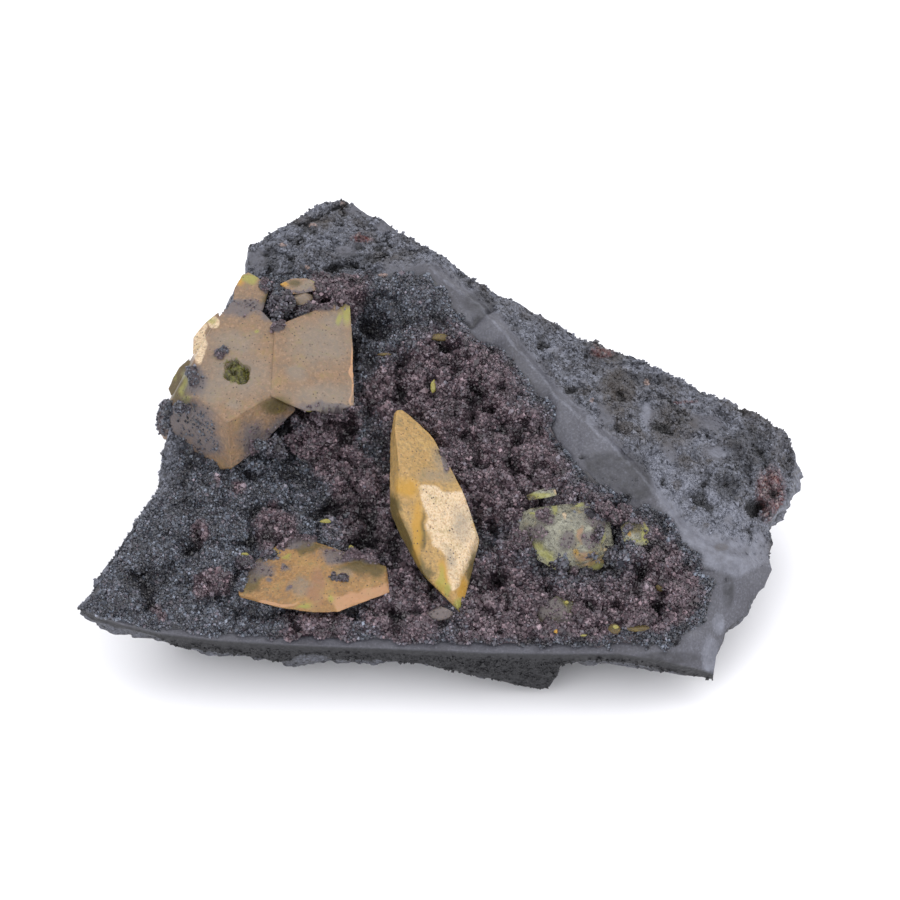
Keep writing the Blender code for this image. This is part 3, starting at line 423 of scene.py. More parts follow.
SMOOTH_AREAS = [
    (-14.8, 32.5, 0.9, 1.1), (-7.3, 33.5, 1.0, 0.5), (-6.2, 36.7, 1.3, 0.5), (-4.4, 35.4, 0.9, 0.6),
    (17.5, 19.7, 0.6, 1.0), (9.9, 25.1, 0.8, 0.5), (22.6, 18.9, 1.6, 0.7), (24.4, 10.8, 0.5, 0.7),
    (23.1, 16.3, 1.0, 0.6), (14.3, 19.6, 0.6, 1.0), (19.4, 16.4, 0.8, 0.7), (27.0, 8.4, 1.0, 1.6),
    [(22.4, 9.8), (24.8, 9.4), (27.3, 9.0), (27.6, 6.9), (25.2, 6.0), (22.6, 7.4), (20.4, 9.6)],
]

# Markings of the crystals: ovals or outlines
PAIR_MARKS = {
    "druse": [
        (-20.2, 22.8, 0.4, 0.8), (-17.8, 24.75, 0.7, 0.3), (-22.6, 19.4, 0.4, 1.6), (-9.3, 19.7, 1.8, 0.4),
        (-9.2, 28.8, 1.8, 0.5), (-13.2, 27.0, 0.5, 0.7), (-14.0, 30.4, 0.6, 0.6), (-13.2, 16.9, 2.6, 0.9),
    ],
    "coat": [
        (-15.2, 17.6, 1.1, 1.5), (-20.6, 18.9, 2.3, 1.9), (-19.2, 17.2, 1.4, 1.2), (-20.0, 22.6, 1.0, 1.2),
        (-16.0, 28.6, 1.9, 0.7), (-9.0, 20.3, 2.6, 0.4), (-13.9, 28.3, 0.8, 0.8),
        [(-16.5, 15.4), (-15.9, 17.0), (-14.6, 18.3), (-13.2, 19.3), (-10.6, 20.0), (-10.6, 15.4)],
    ],
    "haze": [
        (-16.6, 23.0, 2.5, 1.8), (-16.8, 25.6, 2.0, 1.0), (-9.6, 25.6, 2.4, 1.7), (-16.85, 20.6, 0.7, 0.6),
        (-9.4, 21.2, 2.6, 1.0), (-8.6, 27.4, 1.4, 0.8), (-18.6, 21.8, 1.4, 1.0), (-11.6, 23.2, 0.8, 0.8),
    ],
    "lemon": [
        (-15.45, 31.1, 0.6, 0.35), (-14.7, 26.4, 0.2, 0.2), (-7.3, 28.2, 0.4, 1.0), (-8.0, 27.6, 0.25, 0.5),
        (-21.0, 22.2, 0.2, 0.8), (-20.6, 20.9, 0.4, 0.35), (-21.7, 23.6, 0.25, 0.7),
        (-19.3, 27.6, 0.9, 0.3), (-9.3, 20.15, 0.5, 0.2),
    ],
    "pale": [(-19.6, 25.6, 0.7, 1.7), (-18.6, 27.4, 0.6, 0.5)],
    # a painted highlight along the right edge
    "peach": [(-7.05, 23.0, 0.15, 2.6)],
    "amber": [(-16.3, 31.0, 0.4, 0.5)],
    "stain": [
        (-21.4, 22.6, 1.2, 2.2), (-13.6, 29.4, 0.9, 1.0), (-13.3, 20.4, 1.2, 0.7), (-11.4, 28.4, 0.9, 0.5),
    ],
}
PAIR_PIT = (-16.5, 23.25, 1.25, 0.95)
CENTER_MARKS = {
    # the lower right face: partly etched, sandy skin and partly painted light where it faces the lamps
    "pale": [
        [
            (-1.5, 13.75), (2.33, 13.2), (3.6, 9.6), (3.2, 7.6), (2.4, 6.1), (1.5, 4.9), (0.98, 5.4),
            (0.9, 6.63), (0.7, 7.85), (0.4, 8.3), (-0.1, 8.6), (-0.45, 9.5), (-0.7, 10.66), (-1.0, 12.0),
        ],
    ],
    "amber": [(-2.4, 13.6, 0.8, 0.8), (-1.5, 10.2, 0.4, 2.6), (0.6, 6.2, 0.4, 1.5), (2.2, 4.8, 0.4, 1.2)],
    # the outline is a painted shade on the left flank; the ovals are stains
    "stain": [
        [(-6.0, 14.0), (-3.2, 12.8), (-2.5, 10.6), (-1.5, 8.4), (-0.3, 6.4), (-0.9, 4.4), (-5.0, 6.0)],
        (-1.1, 9.8, 0.25, 1.6), (3.2, 6.4, 0.5, 2.2), (2.2, 3.4, 0.7, 0.7),
    ],
    "lemon": [(1.9, 3.9, 0.4, 0.4), (0.5, 6.0, 0.3, 1.0), (0.9, 5.0, 0.3, 0.5)],
    "haze": [(0.6, 16.0, 0.9, 1.3), (2.2, 10.6, 0.9, 1.4), (0.4, 14.6, 1.8, 0.6), (1.0, 7.6, 0.5, 1.0)],
    "coat": [(0.9, 15.6, 0.3, 0.7)],
}
LOWER_LEFT_MARKS = {
    "druse": [(-15.6, 7.2, 0.9, 0.4), (-11.0, 9.2, 1.8, 0.3), (-6.3, 7.6, 1.6, 0.35)],
    "coat": [
        (-15.0, 6.9, 1.6, 1.0), (-13.8, 5.8, 0.3, 0.25), (-12.2, 5.1, 0.3, 0.3), (-12.6, 6.9, 0.25, 0.2),
        (-12.0, 8.9, 1.4, 0.4), (-8.4, 7.9, 1.4, 0.6),
    ],
    "haze": [(-11.4, 5.2, 0.9, 0.7), (-7.6, 6.4, 0.7, 0.5)],
    # the stains along the top edge are partly painted shade under the druse that overhangs it
    "stain": [
        (-5.8, 7.0, 2.2, 0.5), (-10.6, 8.6, 1.4, 0.4), (-15.4, 5.6, 1.0, 0.8), (-5.2, 7.0, 1.4, 0.8),
        (-14.6, 8.0, 0.9, 0.4),
    ],
    "lemon": [
        (-14.1, 8.2, 0.75, 0.3), (-12.6, 7.8, 0.3, 0.2), (-11.1, 3.6, 0.7, 0.15), (-8.6, 4.2, 0.2, 0.3),
    ],
    "tan": [(-10.0, 5.2, 0.7, 1.6)],
    # the outline is a face that is partly its own colour and partly painted light where it faces the lamps
    "peach": [[(-8.6, 4.3), (-3.95, 5.65), (-3.7, 4.6), (-8.2, 3.1)], (-14.0, 4.0, 2.4, 0.15)],
}
GLASSY_MARKS = {
    "druse": [(14.6, 11.6, 0.8, 0.7), (7.0, 9.0, 0.8, 0.7), (9.2, 11.2, 0.5, 0.4), (11.6, 6.8, 0.4, 0.5)],
    "lemon": [
        [(7.6, 9.4), (8.4, 9.0), (10.9, 7.0), (10.2, 6.4), (8.4, 7.6)],
        [(12.4, 7.1), (14.5, 7.2), (12.6, 5.9)], (10.1, 11.9, 0.25, 0.8), (12.1, 12.2, 0.5, 0.2),
        (13.8, 9.4, 0.3, 0.5), (8.3, 11.4, 0.5, 0.15),
    ],
    "amber": [(11.6, 8.25, 0.2, 0.25)],
    "tan": [(12.3, 8.0, 0.9, 0.35), (12.0, 9.6, 0.25, 0.6), (13.3, 7.3, 1.2, 0.25)],
    # painted glints: white highlights on the glassy crystal
    "pale": [(14.6, 8.3, 0.6, 0.3), (16.5, 8.2, 0.4, 0.5), (13.0, 12.4, 0.4, 0.3), (10.9, 11.2, 0.2, 0.3)],
    "haze": [(12.6, 11.2, 1.4, 0.9), (8.0, 10.2, 1.4, 0.6)],
    "coat": [
        (8.4, 9.8, 1.0, 0.7), (10.8, 9.2, 0.7, 0.8), (13.4, 10.6, 1.0, 0.6), (9.4, 10.8, 0.7, 0.4),
        (12.9, 9.2, 0.8, 0.6),
    ],
}
SMALL_RIGHT_MARKS = {
    "amber": [(16.2, 9.6, 0.2, 0.25)],
    "lemon": [(17.6, 9.6, 0.3, 1.0), (16.6, 9.0, 0.9, 0.25)],
    "stain": [(16.6, 10.4, 0.9, 0.5)],
}
SMALL_TOP_MARKS = {
    "lemon": [(-9.7, 30.6, 0.5, 0.35)],
    "amber": [(-12.8, 30.6, 0.4, 0.25)],
    "haze": [(-10.9, 30.3, 0.8, 0.5)],
    "coat": [(-11.2, 29.9, 0.9, 0.2)],
    "stain": [(-11.8, 30.8, 0.6, 0.3)],
}
SLIVER_MARKS = {
    "lemon": [(9.0, 13.1, 0.9, 0.25)],
    "stain": [(8.2, 12.7, 0.7, 0.4)],
    "pale": [(9.95, 13.2, 0.1, 0.4)],
}
GLASSY_FRONT_MARKS = {
    "stain": [(10.3, 3.0, 2.4, 1.8)],
    "coat": [(9.6, 3.4, 1.4, 0.9), (11.0, 2.6, 1.0, 0.6)],
    "amber": [(9.85, 1.5, 0.2, 0.25)],
    "lemon": [(11.0, 3.9, 0.15, 0.2)],
    "druse": [(10.4, 2.0, 1.6, 0.3), (12.0, 3.4, 0.6, 0.6)],
}
CRYSTAL_MARKS = ("druse", "coat", "haze", "lemon", "pale", "peach", "tan", "amber", "stain")

# Clumps of druse on and between the crystals: middle, height, half widths, half thickness, share of purple
CLUMPS = [
    (-12.9, 28.9, 2.1, 1.1, 1.2, 0.6, 0.4), (-13.2, 27.4, 2.5, 0.5, 0.7, 0.3, 0.2),
    (-14.2, 30.4, 1.5, 0.6, 0.4, 0.3, 0.3), (-9.3, 29.8, 1.5, 1.3, 0.7, 0.6, 1.0),
    (-7.9, 29.1, 1.5, 0.7, 0.6, 0.4, 1.0), (-9.0, 19.6, 2.1, 1.4, 0.4, 0.4, 0.8),
    (-11.4, 18.7, 1.2, 1.0, 0.8, 0.5, 0.5), (-10.4, 17.5, 0.9, 1.9, 1.3, 0.8, 1.0),
    (-13.4, 16.8, 1.2, 1.0, 0.8, 0.5, 0.3), (-22.3, 20.2, 2.0, 0.4, 0.4, 0.2, 0.0),
    (-10.8, 28.9, 1.4, 1.3, 0.8, 0.5, 0.6), (-11.6, 27.9, 1.0, 1.3, 0.7, 0.5, 0.2),
    (-14.5, 28.0, 1.0, 0.5, 0.5, 0.3, 0.2), (-9.3, 28.7, 1.6, 1.6, 0.4, 0.4, 1.0),
    (-22.5, 19.2, 1.7, 0.3, 0.6, 0.3, 0.0), (-20.9, 20.2, 3.3, 0.8, 0.2, 0.15, 0.2),
    (-20.4, 22.9, 3.0, 0.25, 0.7, 0.15, 0.6), (1.0, 16.1, 1.1, 0.4, 0.7, 0.3, 1.0),
    (-14.6, 17.0, 2.6, 0.4, 0.4, 0.2, 0.0), (-18.4, 5.9, 0.9, 1.0, 0.9, 0.5, 1.0),
    (-8.05, 5.95, 2.1, 0.85, 0.5, 0.25, 0.6), (-9.25, 4.3, 2.5, 0.75, 0.6, 0.35, 0.6),
    (-15.7, 7.2, 1.2, 0.9, 0.4, 0.3, 0.5), (14.9, 11.6, 0.9, 1.3, 0.7, 0.5, 1.0),
    (-17.7, 24.8, 3.7, 0.55, 0.25, 0.15, 1.0), (17.3, 3.0, 0.7, 1.0, 0.6, 0.4, 1.0),
    (7.1, 9.2, 0.3, 0.7, 0.6, 0.4, 1.0), (13.5, 9.8, 1.4, 0.5, 0.3, 0.2, 0.6),
]

# Loose bits on the crust: middle, half widths, lift off the crust, and marking
BITS = [
    (-11.0, 28.3, 0.8, 0.55, 2.0, "haze"), (-9.2, 10.55, 0.4, 0.15, 0.3, "lemon"),
    (-7.0, 8.3, 0.2, 0.3, 0.4, "lemon"), (-10.3, 19.4, 0.35, 0.25, 1.2, "lemon"),
    (-0.2, 21.7, 0.2, 0.5, 0.4, "lemon"), (0.5, 25.9, 0.8, 0.3, 0.3, "stain"),
    (-4.2, 24.4, 0.5, 0.12, 0.3, "stain"), (18.8, 5.2, 0.3, 0.25, 0.2, "stain"),
    (14.85, 1.45, 0.45, 0.35, 0.35, "stain"), (14.9, 1.5, 0.2, 0.15, 0.65, "lemon"),
    (16.8, 1.7, 0.8, 0.3, 0.4, "stain"), (12.4, 1.0, 0.25, 0.1, 0.3, "lemon"),
    (-12.67, 19.05, 0.3, 0.3, 1.5, "tan"), (11.0, 3.9, 0.15, 0.12, 0.5, "lemon"),
    (0.4, 2.8, 0.9, 0.5, 0.3, "coat"), (-15.8, 7.7, 0.25, 0.15, 0.4, "lemon"),
    (10.05, 1.3, 0.15, 0.15, 0.5, "amber"),
]

# Clusters of pinkish white grains in the crust
PALE_CLUSTERS = [
    (2.7, 15.6, 0.5, 0.4), (-0.5, 23.8, 0.35, 0.6), (-4.5, 23.1, 0.3, 0.3), (18.3, 5.4, 0.25, 0.3),
    (19.5, 4.6, 0.4, 0.35), (20.8, 3.0, 0.4, 0.3), (19.4, 0.9, 0.4, 0.2), (6.9, 6.0, 0.5, 0.3),
    (-9.8, 17.2, 0.7, 0.4), (-18.0, 14.2, 0.5, 0.3), (-16.4, 13.6, 0.5, 0.4), (16.1, 4.6, 0.6, 0.3),
    (-4.0, 20.4, 0.3, 0.4), (3.3, 18.4, 0.4, 0.3),
]

# Tones of the bare stone: ovals or outlines. The pale and lit areas are partly paler stone and partly
# painted light on faces that catch the lamps; the dark and shaded areas are partly darker stone and
# partly painted shade in channels and on faces turned from the light.
PALE_AND_LIT_AREAS = [
    [
        (16.9, 17.4), (20.3, 15.4), (23.7, 13.4), (25.8, 11.9), (27.4, 9.4), (27.9, 7.6), (25.2, 6.0),
        (22.0, 7.2), (19.7, 9.4), (18.4, 12.8),
    ],
    (24.5, 10.7, 0.4, 0.7), (22.9, -0.6, 0.7, 1.8), (23.6, 2.2, 0.5, 0.9), (9.4, 25.2, 0.8, 0.5),
    (17.4, 19.7, 0.5, 1.2), (13.0, 19.2, 0.5, 0.5), (21.5, 17.5, 1.8, 0.5), (24.0, 16.5, 1.2, 0.5),
]
DARK_AND_SHADED_AREAS = [
    (-28.5, 3.0, 2.4, 0.9), (-8.0, 31.7, 1.6, 0.4),
    [
        (12.2, 16.3), (14.5, 16.5), (17.2, 16.4), (18.0, 14.8), (18.1, 12.9), (16.9, 12.3), (14.0, 13.9),
        (12.6, 15.0),
    ],
    (24.4, 4.9, 0.5, 1.4), (3.7, 29.0, 1.4, 0.9), (19.5, -0.6, 2.6, 0.5), (26.0, 16.8, 1.6, 2.0),
    (24.3, 13.6, 1.2, 1.2), (-13.7, 32.6, 0.6, 1.4), (-6.5, 32.6, 2.0, 0.5), (-10.9, 35.4, 0.9, 0.25),
    (17.0, 22.6, 2.4, 0.5),
]
BROWN_AREAS = [
    (15.2, 21.5, 1.6, 1.9), (19.9, 18.6, 2.0, 1.7), (20.1, 13.8, 0.4, 0.45), (-9.6, 35.8, 1.0, 0.2),
    (21.5, 11.8, 0.3, 0.3), (22.5, 10.4, 0.3, 0.2), (23.8, 8.6, 0.6, 0.3),
]
RUST_AREAS = [
    (27.9, 13.0, 1.2, 2.3), (20.8, 20.7, 0.9, 0.12), (13.9, 24.8, 1.0, 0.4), (-6.2, 34.3, 0.9, 0.3),
]
PALE_SPOTS = [
    (-5.5, 31.0, 0.3, 0.3), (-4.4, 31.3, 0.4, 0.15), (-12.7, 33.8, 0.35, 0.12), (-10.3, 35.5, 0.4, 0.1),
    (-7.7, 37.3, 0.25, 0.15), (-10.65, 31.85, 0.2, 0.15), (13.0, 20.8, 0.15, 0.12), (17.6, 22.4, 0.2, 0.3),
]
STONE_MARKS = ("rough", "light", "dark", "hollow", "strip", "brown", "rust", "spot")

# Where the grains of the crust are divided into pieces, from left to right
CRUST_PARTS = (-60.0, -13.0, -2.0, 8.0, 60.0)

# Floor, and soft lights as name, size and position, all in metres; the camera's sensor is in mm
FLOOR_REACH = 3.0
LIGHTS = [
    ("above", 0.8, (-0.05, 0.25, 0.6)),
    ("right", 0.5, (0.45, -0.1, 0.4)),
    ("front", 0.7, (-0.25, -0.5, 0.33)),
]
LIGHT_TARGET = (0.0, 0.0, 0.01)
SKY_COLOUR = (0.96, 0.96, 1.0, 1.0)
SENSOR_WIDTH = 36.0
NEAREST_SEEN = 0.01


def linear(colour):
    """A colour for the shaders: sRGB hex turned to linear red, green, blue and full alpha."""
    values = np.array([int(colour[k:k + 2], 16) for k in (0, 2, 4)]) / 255.0
    curve = np.where(values <= 0.04045, values / 12.92, ((values + 0.055) / 1.055) ** 2.4)
    return (*curve.tolist(), 1.0)


def place(x, y, height):
    """Points seen at x, y that lie at a height over the plane of the top face, in mm."""
    steps = np.stack(np.broadcast_arrays(x - SIGHT_CENTRE[0], y - SIGHT_CENTRE[1]), axis=-1)
    lines = SIGHT_DISTANCE * SIGHT + steps @ np.array([ACROSS, SEEN_UP])
    reach = (height - (EYE - PLANE_POINT) @ FACE_NORMAL) / (lines @ FACE_NORMAL)
    return EYE + lines * reach[..., None]


def seen(points):
    """Where points in mm are seen from the front, as x and y."""
    reach = points - EYE
    scale = SIGHT_DISTANCE / (reach @ SIGHT)
    return SIGHT_CENTRE[0] + scale * (reach @ ACROSS), SIGHT_CENTRE[1] + scale * (reach @ SEEN_UP)


def unit(vectors):
    """Vectors brought to a length of one."""
    return vectors / np.linalg.norm(vectors, axis=-1, keepdims=True)


def smooth_step(value, low, high):
    """0 below low, 1 above high, and an even S between them."""
    t = np.clip((value - low) / (high - low), 0.0, 1.0)
    return t * t * (3.0 - 2.0 * t)


def line_distance(line, x, y):
    """Distance of x, y from an open line of points."""
    nearest = np.full(np.shape(x), 1e9)
    for (ax, ay), (bx, by) in zip(line, line[1:]):
        length = (bx - ax) ** 2 + (by - ay) ** 2
        along = np.clip(((x - ax) * (bx - ax) + (y - ay) * (by - ay)) / length, 0.0, 1.0)
        nearest = np.minimum(nearest, np.hypot(x - ax - along * (bx - ax), y - ay - along * (by - ay)))
    return nearest


def closed_distance(loop, x, y):
    """Distance of x, y from a closed loop, positive inside it."""
    distance = line_distance(loop + loop[:1], x, y)
    inside = np.zeros(np.shape(x), bool)
    for (ax, ay), (bx, by) in zip(loop, loop[1:] + loop[:1]):
        spans = (ay > y) != (by > y)
        rise = by - ay if by != ay else 1.0
        inside ^= spans & (x < ax + (bx - ax) * (y - ay) / rise)
    return np.where(inside, distance, -distance)


# A texture is its height in mm times a pattern, and a pattern is told the size of its features in mm
# and the seed of its random table.

def noise(x, y, size, seed):
    """Smooth noise between -1 and 1, with one random value at each corner of a square grid."""
    table = np.random.default_rng(seed).uniform(-1.0, 1.0, (GRID, GRID))
    column, row = (np.floor(value / size).astype(int) for value in (x, y))
    fx = smooth_step(x / size - column, 0.0, 1.0)
    fy = smooth_step(y / size - row, 0.0, 1.0)
    left, right = (table[at % GRID, row % GRID] * (1 - fy) + table[at % GRID, (row + 1) % GRID] * fy
                   for at in (column, column + 1))
    return left * (1 - fx) + right * fx


def swayed(x, y, reach, size, seed):
    """x and y moved about by noise, so that what is read there has uneven edges."""
    return x + reach * noise(x, y, size, seed), y + reach * noise(x, y, size, seed + 1)


def clusters(x, y, size, seed):
    """Rounded heads that meet in creases: 1 at the middle of a head, 0 where it meets the next."""
    shift = np.random.default_rng(seed).uniform(0.15, 0.85, (GRID, GRID, 2))
    column, row = (np.floor(value / size).astype(int) for value in (x, y))
    nearest = np.full(np.shape(x), FAR)
    for i, j in product((-1, 0, 1), repeat=2):
        middle = shift[(column + i) % GRID, (row + j) % GRID]
        dx = column + i + middle[..., 0] - x / size
        dy = row + j + middle[..., 1] - y / size
        nearest = np.minimum(nearest, dx * dx + dy * dy)
    return np.clip(1.0 - nearest * 1.6, 0.0, 1.0)


def shuffled(cell, order):
    """A number for each cell of a grid in space, looked up in a shuffled order of them along x, y and z."""
    x, y, z = np.moveaxis(cell, -1, 0)
    return order[(order[(order[x % SPACE_GRID] + y) % SPACE_GRID] + z) % SPACE_GRID]


def noise_in_space(points, size, seed, octaves=1):
    """Smooth noise in space between -1 and 1, and finer copies, each half as large and half as strong."""
    total = np.zeros(points.shape[:-1])
    for octave in range(octaves):
        rng = np.random.default_rng(seed + octave)
        order = rng.permutation(SPACE_GRID)
        values = rng.uniform(-1.0, 1.0, SPACE_GRID)
        scaled = points * 2 ** octave / size
        cell = np.floor(scaled).astype(int)
        share = smooth_step(scaled - cell, 0.0, 1.0)
        for corner in product((0, 1), repeat=3):
            part = np.where(corner, share, 1.0 - share)
            total += values[shuffled(cell + corner, order)] * part.prod(axis=-1) / 2 ** octave
    return total


def pebbles_in_space(points, size, seed):
    """Rounded grains packed in space: 1 at the middle of a grain, 0 where it meets the next."""
    rng = np.random.default_rng(seed)
    order = rng.permutation(SPACE_GRID)
    shift = rng.uniform(0.1, 0.9, (SPACE_GRID, 3))
    cell = np.floor(points / size).astype(int)
    share = points / size - cell
    nearest = np.full(points.shape[:-1], FAR)
    for step in product((-1, 0, 1), repeat=3):
        middle = shift[shuffled(cell + step, order)] + step
        nearest = np.minimum(nearest, ((middle - share) ** 2).sum(axis=-1))
    return np.clip(1.0 - nearest * 1.4, 0.0, 1.0)


def mounds(table, x, y):
    """Height of a table of round mounds, or depth of a table of round pits."""
    height = np.zeros(np.shape(x))
    for mx, my, radius, high in table:
        height += high * np.clip(1.0 - ((x - mx) ** 2 + (y - my) ** 2) / radius ** 2, 0.0, 1.0)
    return height


def from_middle(oval, x, y):
    """How far x, y lies from the middle of an oval, where its rim is at 1."""
    mx, my, half_x, half_y = oval
    return np.hypot((x - mx) / half_x, (y - my) / half_y)


def hollows(table, x, y, soft):
    """Depth of a table of oval hollows, each with the depth of its middle."""
    depth = np.zeros(np.shape(x))
    for *oval, deep in table:
        depth = np.maximum(depth, deep * smooth_step(HOLLOW_REACH - from_middle(oval, x, y), 0.0, soft))
    return depth


def marked(shapes, x, y):
    """How far inside a list of ovals and outlines: 0.5 on an outline, up to 1 inside it, 0 well outside."""
    cover = np.zeros(np.shape(x))
    for shape in shapes:
        if np.isscalar(shape[0]):
            inside = OVAL_SOFTNESS * (1.0 - from_middle(shape, x, y))
        else:
            inside = closed_distance(shape, x, y) / OUTLINE_SOFTNESS
        cover = np.maximum(cover, np.clip(0.5 + inside, 0.0, 1.0))
    return cover


def relief(x, y):
    """Height of the slab's broad form: the sum over the relief's points of weight times distance."""
    table = np.array(RELIEF)
    apart = np.hypot(table[:, None, 0] - table[None, :, 0], table[:, None, 1] - table[None, :, 1])
    weights = np.linalg.solve(np.hypot(apart, RELIEF_ROUNDING), table[:, 2])
    height = -STRIP_FALL * np.maximum(below_strip_top(x, y), 0.0)
    for (px, py, _), weight in zip(RELIEF, weights):
        height += weight * np.sqrt((x - px) ** 2 + (y - py) ** 2 + RELIEF_ROUNDING ** 2)
    return height


def below_strip_top(x, y):
    """How far below the upper edge of the front strip a place is seen."""
    return np.interp(x, *np.array(STRIP_TOP).T) - y


def broken(x, y):
    """1 where the stone is broken and granular, behind the ridge and at the top, 0 on the smooth band."""
    top = smooth_step(y, ROUGH_TOP_FROM, ROUGH_TOP_FROM + 1.5)
    return np.maximum(smooth_step(closed_distance(BEHIND_RIDGE, x, y), 0.2, 1.2), top)


def stone_height(x, y):
    """Height of the bare stone: its form, the step down behind the ridge, ledges, lumps and pits."""
    lumps = noise(x, y, LUMP_SIZE, 3) + 0.5 * clusters(x, y, LUMP_SIZE * 0.7, 4)
    height = relief(x, y) - mounds(PITS, x, y) + LUMP_HEIGHT * broken(x, y) * lumps
    height -= RIDGE_STEP * smooth_step(closed_distance(BEHIND_RIDGE, x, y), 0.0, 0.5)
    for ledge, high in ((SHOULDER_LEDGE, SHOULDER_LEDGE_HEIGHT), (TOP_LEDGE, TOP_LEDGE_HEIGHT)):
        height += high * smooth_step(LEDGE_WIDTH - line_distance(ledge, x, y), 0.0, LEDGE_WIDTH)
    return height


def bed_form(x, y):
    """The broad form that the crust follows, with its pits."""
    return relief(x, y) - mounds(PITS, x, y) - CREASE_DEPTH


def crust_height(x, y):
    """Height of the crust's upper side: heads of crystal grains over the broad form."""
    small = clusters(x, y, CLUSTER_SIZE * 0.5, CLUSTER_SEED + 1)
    heads = clusters(x, y, CLUSTER_SIZE, CLUSTER_SEED) + SMALL_CLUSTER_SHARE * small
    return bed_form(x, y) + CLUSTER_HEIGHT * heads + mounds(CRUST_LUMPS, x, y)


def floor_height(x, y):
    """Height of the stone under the crust, which swells a little under each large head."""
    swells = clusters(x, y, CLUSTER_SIZE, CLUSTER_SEED)
    return bed_form(x, y) - CRUST_THICKNESS + 0.4 * CLUSTER_HEIGHT * swells


def purple_share(x, y):
    """1 in the purple-brown, knobbly parts of the crust, and 0 in its blue-black, even parts."""
    share = np.zeros(np.shape(x))
    wide, fine = 0.8 * noise(x, y, 2.5, 61), 0.4 * noise(x, y, 0.9, 62)
    for mx, my, radius in PURPLE_PATCHES:
        reach = np.hypot(x - mx, y - my) + wide + fine
        share = np.maximum(share, smooth_step(1.0 - reach / radius, -0.3, 0.3))
    return share


def crust_surface(x, y):
    """Points of the crust's upper side, and a painted shade for each: how deep it lies in the creases
    and between knobs.

    The heads of the solid carry smaller heads and knobs that lean about, and the hollows between them
    go down nearly to the stone. At its edge the crust sinks in.
    """
    share = smooth_step(closed_distance(CRUST_EDGE, x, y), -0.1, 1.2)
    height = crust_height(x, y) * share + (stone_height(x, y) + CRUST_EDGE_LIFT) * (1.0 - share)
    knobbly = 0.3 + 0.7 * purple_share(x, y)
    heads = clusters(*swayed(x, y, 0.35, 1.1, 75), HEAD_SIZE, 77)
    flat = place(x, y, height)
    knobs = pebbles_in_space(flat, KNOB_SIZE, 31)
    fine = pebbles_in_space(flat, KNOB_SIZE * 0.5, 32)
    deep = hollows(HOLLOWS, *swayed(x, y, 0.5, 1.3, 67), 0.9)
    on_heads = KNOB_HEIGHT * (knobs + FINE_KNOBS * fine - KNOB_MIDDLE) * (0.25 + 0.75 * knobbly)
    raised = HEAD_HEIGHT * (heads - HEAD_MIDDLE) * knobbly + on_heads
    raised = share * (raised - deep) + (1.0 - share) * 0.25 * (raised + 0.2)
    raised = np.maximum(height + raised, floor_height(x, y) + THINNEST_CRUST) - height
    sideways = np.stack([noise_in_space(flat, 0.8, 33), noise_in_space(flat, 0.8, 34)], axis=-1)
    points = flat + raised[..., None] * FACE_NORMAL + KNOB_LEAN * sideways @ np.array([ACROSS, UP_SLOPE])
    # a painted shade: darkest in the creases between the heads, in the hollows and round each knob
    large = clusters(x, y, CLUSTER_SIZE, CLUSTER_SEED)
    sway = 0.25 * noise(x, y, 3.4, 69)
    crease = np.clip(1.5 * (1.0 - 1.4 * large) * (1.2 - heads) + deep + sway, 0.0, 1.0) * share
    round_knobs = np.clip((1.0 - knobs) ** 1.4 * (1.3 - 0.7 * fine), 0.0, 1.0)
    return points, np.maximum(crease, round_knobs * (0.35 + 0.65 * knobbly))


def stone_texture(points, rough):
    """How far the bare stone stands out: lumps and crumbs where broken, slight swells where smooth."""
    bent = points + 0.5 * noise_in_space(points, 1.3, 47)[..., None]
    crumbs = 0.6 * pebbles_in_space(bent, 2.2, 48) + 0.4 * noise_in_space(points, 1.4, 41, 3)
    crumbs += 0.42 * pebbles_in_space(bent, 0.95, 44) + 0.2 * pebbles_in_space(points, 0.42, 45) - 0.75
    return rough * crumbs + (1.0 - rough) * 0.03 * noise_in_space(points, 1.6, 46, 2)


def stone_roughness(x, y):
    """How broken the top face is: most behind the ridge, at the top and at the left, least on the band."""
    left = smooth_step(-x, 17.0, 22.0) * smooth_step(y, 2.6, 3.6)
    facets = 0.75 * smooth_step(marked(SMOOTH_AREAS, *swayed(x, y, 0.4, 0.9, 88)), 0.35, 0.75)
    band = 0.04 + 0.15 * smooth_step(noise(x, y, 2.0, 65), 0.3, 0.9) * smooth_step(y, 0.0, 2.0)
    top = (1.0 - facets) * smooth_step(-x, 3.5, 5.0) * smooth_step(y, 26.0, 28.0)
    under = 0.7 * smooth_step(below_strip_top(x, y), 0.35, 0.7)
    return np.maximum.reduce([broken(x, y) * (1.0 - facets), left, band, top, under])


def stone_surface(x, y):
    """Points of the bare top face with its texture, grooves and holes, and how far each stands out."""
    flat = place(x, y, stone_height(x, y))
    bent = swayed(x, y, 0.3, 0.8, 63)
    sunk = hollows(HOLES, *bent, 0.6)
    for line, half_width, depth in GROOVES:
        inside = 1.0 - line_distance(line, *bent) / half_width
        sunk = np.maximum(sunk, depth * smooth_step(inside, 0.0, 0.8))
    raised = stone_texture(flat, stone_roughness(x, y)) - sunk
    return flat + raised[..., None] * FACE_NORMAL, raised


